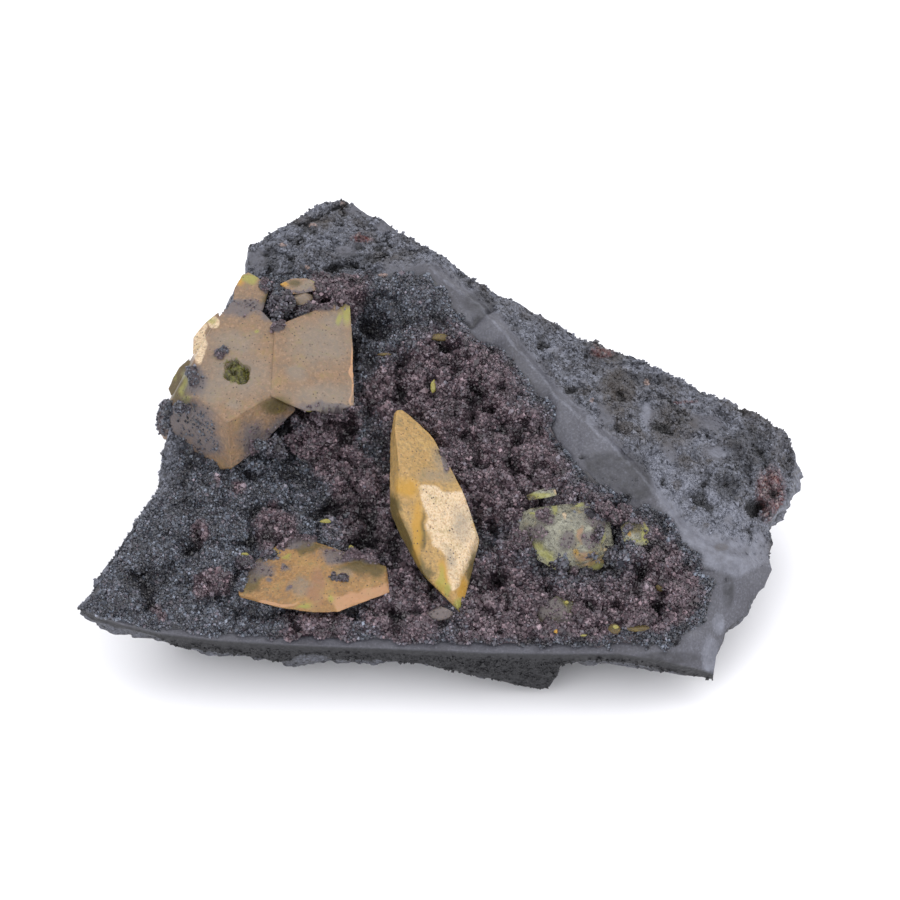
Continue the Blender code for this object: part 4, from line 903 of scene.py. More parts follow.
def stone_marks(x, y, raised):
    """Tones of the bare top face: ridge line, light and dark areas, hollows, brown, red, and the strip.

    The ridge line is a painted highlight of two scratchy threads, each exp(-(distance / width) ** 2). The
    light areas are paler stone and painted light on lit faces, the dark areas darker stone and painted
    shade, the hollows a painted shade where the surface is sunk, and the stone is darker in a painted
    shade where the crust ends at the right. The strip is dark partly in its own colour, partly in painted
    shade.
    """
    rim = -closed_distance(CRUST_EDGE, x, y)
    past = closed_distance(BEHIND_RIDGE, x, y) + 0.12 * noise(x, y, 0.9, 87)
    scratchy = 0.6 + 0.4 * noise(x + y, x - y, 0.5, 86)
    # the ridge line: a painted highlight of two pale threads along its edge
    ridge = scratchy * (np.exp(-(past / 0.17) ** 2) + 0.7 * np.exp(-((past - 0.5) / 0.14) ** 2))
    # a painted shade in the smooth channel where the crust ends at the right
    channel_shade = 0.5 * smooth_step(1.0 - rim, 0.3, 0.9) * smooth_step(-x, -18.0, -14.0)
    rough = stone_roughness(x, y)
    return {"rough": rough,
            "light": np.maximum(np.minimum(ridge, 1.0), marked(PALE_AND_LIT_AREAS, x, y)),
            "dark": np.maximum(marked(DARK_AND_SHADED_AREAS, x, y), channel_shade),
            # a painted shade where the surface is sunk
            "hollow": np.maximum(rough * smooth_step(-raised, 0.25, 0.8), smooth_step(-raised, 0.3, 0.6)),
            "strip": smooth_step(below_strip_top(x, y), -0.05, 0.25),
            "brown": marked(BROWN_AREAS, x, y), "rust": marked(RUST_AREAS, x, y),
            "spot": marked(PALE_SPOTS, x, y)}


def even_steps(line, count):
    """That many points evenly spaced along a line of points, from its first up to but not with its last."""
    points = np.array(line, float)
    reach = np.concatenate([[0.0], np.cumsum(np.hypot(*np.diff(points, axis=0).T))])
    at = np.linspace(0.0, reach[-1], count, endpoint=False)
    return np.column_stack([np.interp(at, reach, points[:, 0]), np.interp(at, reach, points[:, 1])])


def matched_loop(stretches, columns):
    """A closed loop with even steps in each stretch, shared out by the lengths of the outer stretches."""
    lengths = np.array([np.hypot(*np.diff(np.array(line), axis=0).T).sum() for line in OUTER_STRETCHES])
    counts = np.round(columns * lengths / lengths.sum()).astype(int)
    return np.concatenate([even_steps(line, count) for line, count in zip(stretches, counts)])


def moved_out(loop, distance):
    """A closed loop of points, run anticlockwise, moved outwards."""
    along = np.roll(loop, -1, axis=0) - np.roll(loop, 1, axis=0)
    return loop + unit(np.stack([along[:, 1], -along[:, 0]], axis=1)) * np.reshape(distance, (-1, 1))


def between(first, last, count):
    """Loops from the first up to but not with the last, in even steps."""
    share = np.linspace(0.0, 1.0, count, endpoint=False)[:, None, None]
    return first + (last - first) * share


def wall_rings(top, shares):
    """Rings of the walls from the top face's edge down to the table, as in the solid.

    Further down, a ring loses the edge's small turns, draws in towards the base, and takes the
    bulge, the broken lumps and, at the back, the bench that the slab was split along.
    """
    ease = len(top) // WALL_EASE
    eased = sum(np.roll(top, shift, axis=0) for shift in range(-ease, ease + 1)) / (2 * ease + 1)
    share = shares[:, None]
    ring = top + (eased - top) * smooth_step(share, 0.0, 0.6)[..., None]
    height = top[:, 2] * (1.0 - share)
    middle = np.array(BASE_CENTRE) - MIDDLE_ON_TABLE[:2]
    reach = ring[..., :2] - middle
    outward = unit(reach)
    along = ring[..., 0] - ring[..., 1]
    small = noise(along, height, WALL_LUMP_SIZE * 0.45, 21)
    lumps = noise(along, height, WALL_LUMP_SIZE, 20) + 0.45 * small
    at_back = smooth_step(ring[..., 1], -14.0, 4.0)
    push = (WALL_BULGE * at_back + WALL_ROUGHNESS * lumps) * np.sin(pi * share) ** 0.6
    push += BENCH_DEPTH * at_back * smooth_step(BENCH_HEIGHT - height, -0.8, 0.8) * (1.0 - share) ** 0.5
    drawn_in = 1.0 - share ** 1.3 * (1.0 - BASE_SHRINK)
    plan = middle + reach * drawn_in[..., None] + outward * push[..., None]
    rings = np.concatenate([plan, height[..., None]], axis=-1)
    raised = stone_texture(rings, np.ones(height.shape))
    rings[..., :2] += outward * (raised * smooth_step(share, 0.0, 0.15))[..., None]
    return rings, raised


def stone_rings(columns):
    """The slab's skin and markings, ring by ring: crust bed, band, broken face, walls and base."""
    outer, middle, crust = (matched_loop(stretches, columns)
                            for stretches in (OUTER_STRETCHES, MIDDLE_STRETCHES, CRUST_STRETCHES))
    rim = moved_out(crust, -CRUST_RIM_INSET)
    heart = np.array(CRUST_CENTRE)
    bed = between(heart + (rim - heart) * 0.1, rim, BED_RINGS)
    band = between(crust, middle, BAND_RINGS)
    face = np.concatenate([band, between(middle, outer, BROKEN_RINGS), outer[None]])
    bare, raised = stone_surface(face[..., 0], face[..., 1])
    sunk = place(bed[..., 0], bed[..., 1], floor_height(bed[..., 0], bed[..., 1]))
    walls, wall_raised = wall_rings(bare[-1], np.linspace(0.0, 1.0, WALL_RINGS)[1:] ** 1.2)
    foot = walls[-1]
    base = between(foot, foot.mean(axis=0) + (foot - foot.mean(axis=0)) * 0.05, BASE_RINGS)[1:]
    base[..., 2] = BASE_HOLLOW * (1.0 + noise_in_space(base, 3.0, 66)) / 2.0
    rings = np.concatenate([sunk, bare, walls, base])
    rings[..., 2] = np.maximum(rings[..., 2], 0.0)
    raised = np.concatenate([np.zeros(sunk.shape[:2]), raised, wall_raised, np.zeros(base.shape[:2])])
    on_top = np.arange(len(rings))[:, None] < len(sunk) + len(bare)
    marks = {label: np.where(on_top, value, label == "rough")
             for label, value in stone_marks(*seen(rings), raised).items()}
    # on the walls: a painted shade in their hollows, and a painted shade that darkens them towards the
    # front
    marks["hollow"] = np.where(on_top, marks["hollow"], smooth_step(-raised, 0.1, 0.55))
    marks["dark"] = np.where(on_top, marks["dark"], smooth_step(-rings[..., 1], 8.0, 14.0))
    return rings, marks


def spot_at(corner):
    """One place on or over the top face, from its x, y and height."""
    return place(*map(np.float64, corner))


def lobe_corners(faces, loose):
    """Corners of a convex lobe: of each face the three that set its plane and the others seen on it."""
    corners = [spot_at(corner) for corner in loose]
    for a, b, c, *others in faces:
        anchors = [spot_at(corner) for corner in (a, b, c)]
        normal = np.cross(anchors[1] - anchors[0], anchors[2] - anchors[0])
        for x, y in others:
            line = SIGHT_DISTANCE * SIGHT + (x - SIGHT_CENTRE[0]) * ACROSS + (y - SIGHT_CENTRE[1]) * SEEN_UP
            anchors.append(EYE + line * ((anchors[0] - EYE) @ normal / (line @ normal)))
        corners += anchors
    return np.array(corners)


def hull_planes(corners):
    """Planes of the tightest convex solid round points near the origin, each as normal over distance."""
    planes = np.zeros((0, 3))
    for a, b, c in combinations(corners, 3):
        normal = np.cross(b - a, c - a)
        length = np.linalg.norm(normal)
        if length < TINY:
            continue
        normal /= length
        distance = normal @ a
        if distance < 0.0:
            normal, distance = -normal, -distance
        if distance < TINY or (corners @ normal > distance + TINY).any():
            continue
        if not (np.abs(planes - normal / distance) < SAME_PLANE).all(axis=1).any():
            planes = np.vstack([planes, normal / distance])
    return planes


def cube_ball(count):
    """Directions through an even grid on each side of a cube, as points and the quads between them."""
    a, b = np.meshgrid(*[np.tan(np.linspace(-pi / 4, pi / 4, count + 1))] * 2, indexing="ij")
    one = np.ones(a.shape)
    sides = [(one, a, b), (-one, b, a), (b, one, a), (a, -one, b), (a, b, one), (b, a, -one)]
    points = np.concatenate([np.stack(side, axis=-1).reshape(-1, 3) for side in sides])
    _, first, number = np.unique(np.round(points, 6), axis=0, return_index=True, return_inverse=True)
    grid = number.reshape(6, count + 1, count + 1)
    quads = np.stack([grid[:, :-1, :-1], grid[:, 1:, :-1], grid[:, 1:, 1:], grid[:, :-1, 1:]], axis=-1)
    return points[first], quads.reshape(-1, 4)


def lobe_surface(faces, loose, count):
    """The skin of a convex lobe with slightly rounded edges: points, outward directions and quads.

    In direction d the skin lies at 1 / (sum of (plane . d) ** sharpness) ** (1 / sharpness) from the
    middle of the corners, which is the nearest plane, eased where two planes are equally near.
    """
    corners = lobe_corners(faces, loose)
    middle = corners.mean(axis=0)
    planes = hull_planes(corners - middle)
    directions, quads = cube_ball(count)
    spread, axes = np.linalg.eigh(np.cov((corners - middle).T))
    axes = axes * np.sign(np.linalg.det(axes))
    directions = unit(directions * np.sqrt(spread / spread.max()) @ axes.T)
    near = np.maximum(directions @ planes.T, NO_DISTANCE)
    weights = near ** EDGE_SHARPNESS
    reach = weights.sum(axis=1) ** (-1.0 / EDGE_SHARPNESS)
    return middle + directions * reach[:, None], unit((weights / near) @ planes), quads


def crystal_skin(lobes, marks, pit=None):
    """Skins of a crystal's lobes with unevenness, druse and pit: points, outward, quads and markings."""
    parts = []
    start = 0
    for (faces, loose), count in lobes:
        points, outward, quads = lobe_surface(faces, loose, count)
        parts.append((points, outward, quads + start))
        start += len(points)
    points, outward, quads = (np.concatenate(part) for part in zip(*parts))
    bent = swayed(*seen(points), 0.3, 0.8, 55)
    cover = {label: marked(marks.get(label, []), *bent) for label in CRYSTAL_MARKS}
    cover["pit"] = marked([pit] if pit else [], *bent)
    etching = ETCH_HEIGHT * noise_in_space(points, ETCH_SIZE, 82, 2)
    raised = UNEVEN_HEIGHT * noise_in_space(points, UNEVEN_SIZE, 81) + etching
    raised -= 0.05 * np.abs(noise_in_space(points, 0.5, 86)) * (cover["haze"] + cover["lemon"])
    lumps = 0.2 + pebbles_in_space(points, 0.9, 83)
    raised += LUMP_ON_CRYSTAL * smooth_step(cover["druse"], 0.4, 0.8) * lumps
    raised += 0.04 * cover["coat"] * pebbles_in_space(points, 0.35, 84)
    knobbly = 1.0 - 0.7 * pebbles_in_space(points, 0.55, 85)
    raised -= PIT_DEPTH * smooth_step(cover["pit"], 0.45, 0.65) * knobbly
    return points + raised[:, None] * outward, outward, quads, cover


def clump_skin(clump, count, seed):
    """A clump of small knobs of druse: points, outward directions, quads and share of purple."""
    x, y, height, across, up, thick, purple = clump
    rng = np.random.default_rng(seed)
    knobs = int(4.0 * across * up / KNOB_SPACING ** 2)
    axes = np.array([ACROSS * across, UP_SLOPE * up, FACE_NORMAL * thick])
    spots = rng.normal(size=(knobs, 3))
    spots *= rng.uniform(0.3, 1.0, (knobs, 1)) ** 0.5 / np.linalg.norm(spots, axis=1, keepdims=True)
    middles = spot_at((x, y, height)) + spots @ axes
    directions, quads = cube_ball(count)
    directions = unit(directions)
    sizes = rng.uniform(0.5, 1.0, knobs) * KNOB_SPACING
    outward = np.broadcast_to(directions, (knobs, *directions.shape)).reshape(-1, 3)
    points = (middles[:, None] + directions * sizes[:, None, None]).reshape(-1, 3)
    points += 0.12 * noise_in_space(points, 0.35, seed)[:, None] * outward
    quads = (quads + len(directions) * np.arange(knobs)[:, None, None]).reshape(-1, 4)
    return points, outward, quads, purple


def octahedra(middles, sizes, seed):
    """Grains: eight-sided double pyramids, each with its own size, stretch and turn: points and triangles.

    The turn is a rotation matrix worked out from a random quaternion w, x, y, z.
    """
    rng = np.random.default_rng(seed)
    count = len(middles)
    w, x, y, z = unit(rng.normal(size=(count, 4))).T
    rotation = np.stack([1 - 2 * (y * y + z * z), 2 * (x * y - z * w), 2 * (x * z + y * w),
                         2 * (x * y + z * w), 1 - 2 * (x * x + z * z), 2 * (y * z - x * w),
                         2 * (x * z - y * w), 2 * (y * z + x * w), 1 - 2 * (x * x + y * y)],
                        axis=1).reshape(count, 3, 3)
    corners = np.array([(1, 0, 0), (0, 1, 0), (-1, 0, 0), (0, -1, 0), (0, 0, 1), (0, 0, -1)], float)
    stretched = corners * rng.uniform(0.75, 1.25, (count, 1, 3)) * sizes[:, None, None]
    points = middles[:, None] + np.einsum("nij,nkj->nki", rotation, stretched)
    sides = np.array([(0, 1, 4), (1, 2, 4), (2, 3, 4), (3, 0, 4),
                      (1, 0, 5), (2, 1, 5), (3, 2, 5), (0, 3, 5)])
    triangles = (sides[None] + GRAIN_CORNERS * np.arange(count)[:, None, None]).reshape(-1, 3)
    return points.reshape(-1, 3), triangles


def grains_on(points, outward, share, size, seed):
    """Middles and sizes of grains on a skin, at points picked at random with a share of them."""
    rng = np.random.default_rng(seed)
    picked = rng.random(len(points)) < share
    sizes = size * rng.lognormal(0.0, 0.3, picked.sum())
    return points[picked] + outward[picked] * (sizes * 0.3)[:, None], sizes


def druse_on(points, outward, cover, seed):
    """Middles, sizes and shares of purple of grains on the covered parts of a crystal's skin."""
    share = 0.45 * smooth_step(cover["druse"], 0.4, 0.7) + 0.03 * smooth_step(cover["coat"], 0.4, 0.8)
    middles, sizes = grains_on(points, outward, share, 0.1, seed)
    return middles, sizes, smooth_step(seen(middles)[0], -19.0, -14.0)


def loose_grid(spacing, seed):
    """Places scattered one to each cell of a square grid over the whole specimen, as x and y."""
    rng = np.random.default_rng(seed)
    x, y = np.meshgrid(np.arange(-31.0, 31.0, spacing), np.arange(-4.0, 39.0, spacing))
    x += rng.uniform(0.0, spacing, x.shape)
    y += rng.uniform(0.0, spacing, y.shape)
    return x.ravel(), y.ravel()


def inside_stone(x, y):
    """How far inside the top face's edge a place is."""
    outline = np.concatenate([even_steps(line, 60) for line in OUTER_STRETCHES])
    return closed_distance([tuple(point) for point in outline], x, y)


def crust_grain_places(settings):
    """Places, middles and sizes of the druse's grains, and their tints, tones and painted shade of the
    creases.

    The grains reach a little past the crust's edge, and further at the right rim and the left tip. A few
    are painted glints, grains in the creases are darker in a painted shade, and near the glassy crystals
    they are greyer.
    """
    x, y = loose_grid(settings.grain_spacing / MM, 71)
    rng = np.random.default_rng(72)
    beyond = 0.25 + 1.3 * smooth_step(x, 16.0, 20.0) + 1.1 * smooth_step(-x, 22.0, 26.0)
    rim = closed_distance(CRUST_EDGE, x, y) + beyond - 0.45 * noise(x, y, 0.8, 73)
    kept = (rim > 0.0) & (inside_stone(x, y) > 0.4)
    x, y, rim = x[kept], y[kept], rim[kept]
    purple = purple_share(x, y) * smooth_step(rim - x / 16.0 + 0.9, 0.3, 1.3)
    sizes = settings.grain_size / MM * rng.lognormal(0.0, 0.3, len(x)) * (0.85 + 0.2 * purple)
    points, crease = crust_surface(x, y)
    middles = points + (rng.uniform(-0.5, 0.7, len(x)) * sizes)[:, None] * FACE_NORMAL
    greyer = 0.75 * smooth_step(1.3 - from_middle(GLASSY_AREA, x, y), 0.0, 0.6)
    tint = np.clip(purple * (1.0 - greyer) + rng.normal(0.0, 0.25, len(x)), 0.0, 1.0)
    # grains in the creases are darker, a painted shade, and a few are bright as painted glints
    tone = rng.beta(1.3, 4.2, len(x)) * (1.15 - 0.8 * crease) + 0.6 * (rng.random(len(x)) > 0.965)
    tone = np.clip(tone + 0.8 * (rng.random(len(x)) < marked(PALE_CLUSTERS, x, y) - 0.4), 0.0, 1.0)
    return x, middles, sizes, {"tint": tint, "tone": tone, "crease": crease}


def stone_grain_places(spacing, size):
    """Middles, sizes and tones of the crumbs on the broken stone."""
    x, y = loose_grid(spacing, 94)
    rng = np.random.default_rng(95)
    on_stone = (inside_stone(x, y) > -0.05) & (closed_distance(CRUST_EDGE, x, y) < 0.0)
    kept = on_stone & (rng.random(len(x)) < 0.8 * stone_roughness(x, y) - 0.1)
    x, y = x[kept], y[kept]
    sizes = size * rng.lognormal(0.0, 0.35, len(x))
    points, raised = stone_surface(x, y)
    marks = stone_marks(x, y, raised)
    marks["rust"] *= rng.uniform(0.4, 1.3, len(x))
    pale = rng.random(len(x)) < np.where(marks["rust"] > 0.5, 0.25, 0.04 + 0.14 * marks["brown"])
    marks["light"] = np.maximum(marks["light"], pale)
    return points + (rng.uniform(-0.6, 0.4, len(x)) * sizes)[:, None] * FACE_NORMAL, sizes, marks


def add_piece(name, points, faces, material, marks, smooth=True):
    """A piece from points in mm and arrays of faces, each with like numbers of corners, on the specimen."""
    mesh = bpy.data.meshes.new(name)
    sizes = np.concatenate([np.full(len(part), part.shape[1]) for part in faces])
    corners = np.concatenate([part.ravel() for part in faces])
    mesh.vertices.add(len(points))
    mesh.vertices.foreach_set("co", (points * MM).ravel())
    mesh.loops.add(len(corners))
    mesh.loops.foreach_set("vertex_index", corners)
    mesh.polygons.add(len(sizes))
    mesh.polygons.foreach_set("loop_start", np.cumsum(sizes) - sizes)
    mesh.polygons.foreach_set("use_smooth", np.broadcast_to(smooth, len(sizes)))
    mesh.update(calc_edges=True)
    for label, values in marks.items():
        mesh.attributes.new(label, "FLOAT", "POINT").data.foreach_set("value", values.ravel())
    mesh.materials.append(material)
    piece = bpy.data.objects.new(name, mesh)
    bpy.context.scene.collection.objects.link(piece)
    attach(piece, "root")
    return piece


def add_rings(name, rings, material, marks, smooth):
    """A closed skin through rings of points in mm, with a pole in the middle of the first and last ring."""
    count, columns = rings.shape[:2]
    number = 1 + np.arange(count * columns).reshape(count, columns)
    onward = np.roll(number, -1, axis=1)
    quads = np.stack([number[:-1], number[1:], onward[1:], onward[:-1]], axis=-1).reshape(-1, 4)
    first = np.column_stack([np.zeros(columns, int), number[0], onward[0]])
    last = np.column_stack([number[-1], np.full(columns, count * columns + 1), onward[-1]])
    poles = rings[[0, -1]].mean(axis=1)
    points = np.concatenate([poles[:1], rings.reshape(-1, 3), poles[1:]])
    marks = {label: np.concatenate([value[0, :1], value.ravel(), value[-1, :1]])
             for label, value in marks.items()}
    return add_piece(name, points, (quads, np.concatenate([first, last])), material, marks, smooth)


def add_grains(name, middles, sizes, marks, material, slot, seed):
    """Grains as one piece, each with its own markings."""
    points, triangles = octahedra(middles, sizes, seed)
    marks = {label: np.repeat(value, GRAIN_CORNERS) for label, value in marks.items()}
    add_piece(name, points, (triangles,), material, marks, False)


def add_druse_grains(name, parts, material, seed):
    """Grains of druse as one piece, from parts of middles, sizes and shares of purple."""
    middles, sizes, tint = (np.concatenate(part) for part in zip(*parts))
    rng = np.random.default_rng(seed)
    tint = np.clip(tint + rng.normal(0.0, 0.2, len(sizes)), 0.0, 1.0)
    tone = np.clip(rng.beta(1.3, 5.0, len(sizes)), 0.0, 1.0)
    marks = {"tint": tint, "tone": tone, "crease": np.zeros(len(sizes))}
    add_grains(name, middles, sizes, marks, material, "crust", seed + 1)


def add_crystals(crystals, grains, sugar, seed):
    """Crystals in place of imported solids, and the grains of druse on all of them as one piece.

    A crystal is its solid's name, its slot and material, its lobes with their steps, its markings and,
    where it has one, its pit.
    """
    parts = []
    for node, slot, material, lobes, marks, *pit in crystals:
        points, outward, quads, cover = crystal_skin(lobes, marks, *pit)
        name = node.removeprefix("crystal_") + "_skin"
        piece = add_piece(name, points, (quads,), material, cover)
        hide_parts(node)
        parts.append(druse_on(points, outward, cover, seed))
    add_druse_grains(grains, parts, sugar, seed + 1)


def bit_shape(directions, rng):
    """A rounded pebble with flat faces, as points in the directions from its middle."""
    planes = unit(rng.normal(size=(BIT_FACES, 3)))
    near = np.maximum(directions @ planes.T, NO_DISTANCE) ** BIT_SHARPNESS
    reach = np.linalg.norm(directions, axis=1) / near.sum(axis=1) ** (1.0 / BIT_SHARPNESS)
    return unit(directions) * np.minimum(reach, BIT_REACH)[:, None]


def add(tree, kind, inputs=None, output=0, **settings):
    """One output of a new shader node, with its settings, and its inputs set or linked to other outputs."""
    node = tree.nodes.new(kind)
    for setting, value in settings.items():
        setattr(node, setting, value)
    for key, value in (inputs or {}).items():
        if isinstance(value, bpy.types.NodeSocket):
            tree.links.new(value, node.inputs[key])
        else:
            node.inputs[key].default_value = value
    return node.outputs[output] if node.outputs else None


def per_mm(size):
    """The scale of a noise or cell pattern whose features are that many millimetres apart."""
    return 1.0 / (size * MM)


def limits(low, high, floor=0.0, top=1.0):
    """Inputs that turn a value's range from low to high to a range from floor to top."""
    return {"From Min": low, "From Max": high, "To Min": floor, "To Max": top}


def painted(tree, colour, *layers):
    """A colour under layers of paint, each a strength, the paint and, if any, the strength's limits."""
    for strength, paint, *turned in layers:
        if turned:
            strength = add(tree, "ShaderNodeMapRange", {"Value": strength, **limits(*turned)})
        colour = add(tree, "ShaderNodeMix", {"Factor": strength, 6: colour, 7: paint}, 2, data_type="RGBA")
    return colour


def torn(tree, mark, noises, soft, most=1.0, least=0.0):
    """A marking with ragged edges: its strength moved up and down by noises and cut off round the half."""
    for noise_value, share in noises:
        turned = limits(0.0, 1.0, -0.5 * share, 0.5 * share)
        shifted = add(tree, "ShaderNodeMapRange", {"Value": noise_value, **turned})
        mark = add(tree, "ShaderNodeMath", {0: mark, 1: shifted}, operation="ADD")
    return add(tree, "ShaderNodeMapRange", {"Value": mark, **limits(0.5 - soft, 0.5 + soft, least, most)})


def start_material(name, labels=(), mottles=()):
    """A new material, its tree, the place on the object, the piece's markings, and mottles round 0.5.

    A mottle is the size of its features in mm, its detail and its roughness.
    """
    material = bpy.data.materials.new(name)
    material.use_nodes = True
    tree = material.node_tree
    tree.nodes.clear()
    spot = add(tree, "ShaderNodeTexCoord", output="Object")
    marks = [add(tree, "ShaderNodeAttribute", output="Fac", attribute_name=label) for label in labels]
    clouds = [add(tree, "ShaderNodeTexNoise", {"Vector": spot, "Scale": per_mm(size), "Detail": detail,
                                               "Roughness": roughness}, "Fac")
              for size, detail, roughness in mottles]
    return material, tree, spot, marks, clouds


def finish_material(tree, inputs, volume=None):
    """The Principled shader with its inputs, joined to the output, and a volume for clear crystal."""
    joined = {"Surface": add(tree, "ShaderNodeBsdfPrincipled", inputs)}
    if volume is not None:
        joined["Volume"] = volume
    add(tree, "ShaderNodeOutputMaterial", joined)


def hematite_ore(settings):
    """Hematite and manganese ore as it broke: fine and dull on the band, crumbly and glinting behind it."""
    material, tree, spot, marks, (broad, middle, fine) = start_material(
        "hematite_ore_fractured", STONE_MARKS, ((4.0, 5.0, 0.6), (0.9, 4.0, 0.65), (0.2, 2.0, 0.7)))
    rough, light, dark, hollow, strip, brown, rust, pale_spot = marks
    cells = add(tree, "ShaderNodeTexVoronoi", {"Vector": spot, "Scale": per_mm(0.22)}, "Distance")
    tone = add(tree, "ShaderNodeSeparateColor", {"Color": cells.node.outputs["Color"]}, "Red")
    # the smooth band: even grey with a slow change of tone and a fine mottle
    band = painted(tree, settings.band, (broad, settings.pale, 0.35, 0.7, 0.0, 0.22),
                   (fine, settings.dark, 0.3, 0.55, 0.35, 0.0), (fine, settings.pale, 0.55, 0.75, 0.0, 0.3))
    # the broken stone: grains from dark to pale, each of its own tone, in patches of slate, grey and brown
    crumbs = painted(tree, settings.dark, (tone, settings.pale, 0.0, 1.0, 0.1, 0.88),
                     (broad, settings.brown, 0.5, 0.68, 0.0, 0.7),
                     (middle, settings.dark, 0.48, 0.66, 0.0, 0.45))
    rusty = painted(tree, settings.rust, (tone, settings.spot, 0.75, 0.95),
                    (tone, settings.depth, 0.3, 0.1, 0.0, 0.8))
    colour = painted(tree, band, (rough, crumbs))
    # light is paler stone and painted light, with the ridge's painted highlight; dark is darker stone and
    # painted shade
    for mark, most, paint in ((light, 0.42, settings.pale), (dark, 0.6, settings.dark),
                              (brown, 0.6, settings.brown), (rust, 0.7, rusty),
                              (pale_spot, 0.8, settings.spot)):
        ragged = torn(tree, mark, ((middle, 0.6), (fine, 0.5)), 0.25)
        uneven = add(tree, "ShaderNodeMapRange",
                     {"Value": middle, **limits(0.35, 0.62, 1.3 * most, 0.5 * most)})
        strength = add(tree, "ShaderNodeMath", {0: ragged, 1: uneven}, operation="MULTIPLY")
        colour = painted(tree, colour, (strength, paint))
    # the strip, dark partly in painted shade, and a painted shade in the hollows
    colour = painted(tree, colour, (strip, settings.strip), (hollow, settings.depth, 0.0, 1.0, 0.0, 0.85))
    bumps = add(tree, "ShaderNodeBump", {"Strength": 0.3, "Distance": 0.08 * MM, "Height": fine})
    grains = add(tree, "ShaderNodeMath", {0: cells, 1: rough}, operation="MULTIPLY")
    bumps = add(tree, "ShaderNodeBump", {"Strength": 0.6, "Distance": 0.25 * MM, "Height": grains,
                                         "Normal": bumps}, invert=True)
    dull = add(tree, "ShaderNodeMapRange", {"Value": tone, **limits(0.0, 1.0, 0.42, 0.7)})
    finish_material(tree, {"Base Color": colour, "Roughness": dull, "IOR": 2.2,
                           "Specular IOR Level": 0.15, "Normal": bumps})
    return material


def hausmannite_druse(settings, name):
    """Hausmannite in sugary grains: dark, glinting from flat faces, a few painted glints, painted shade in
    creases.
    """
    material, tree, _, (tint, tone, crease), (fine,) = start_material(
        name, ("tint", "tone", "crease"), ((0.5, 3.0, 0.6),))
    # the lightest grains: pale grains and the few painted glints; the creases get a painted shade
    pale_grain_and_glint = painted(tree, settings.silver, (tint, settings.pale))
    colour = painted(tree, settings.blue, (tint, settings.purple),
                     (fine, settings.depth, 0.3, 0.6, 0.6, 0.0), (tone, pale_grain_and_glint),
                     (crease, settings.depth, 0.0, 1.0, 0.0, 0.85))
    dull = add(tree, "ShaderNodeMapRange", {"Value": fine, **limits(0.3, 0.7, 0.22, 0.5)})
    finish_material(tree, {"Base Color": colour, "Roughness": dull, "IOR": 2.2, "Specular IOR Level": 0.16})
    return material


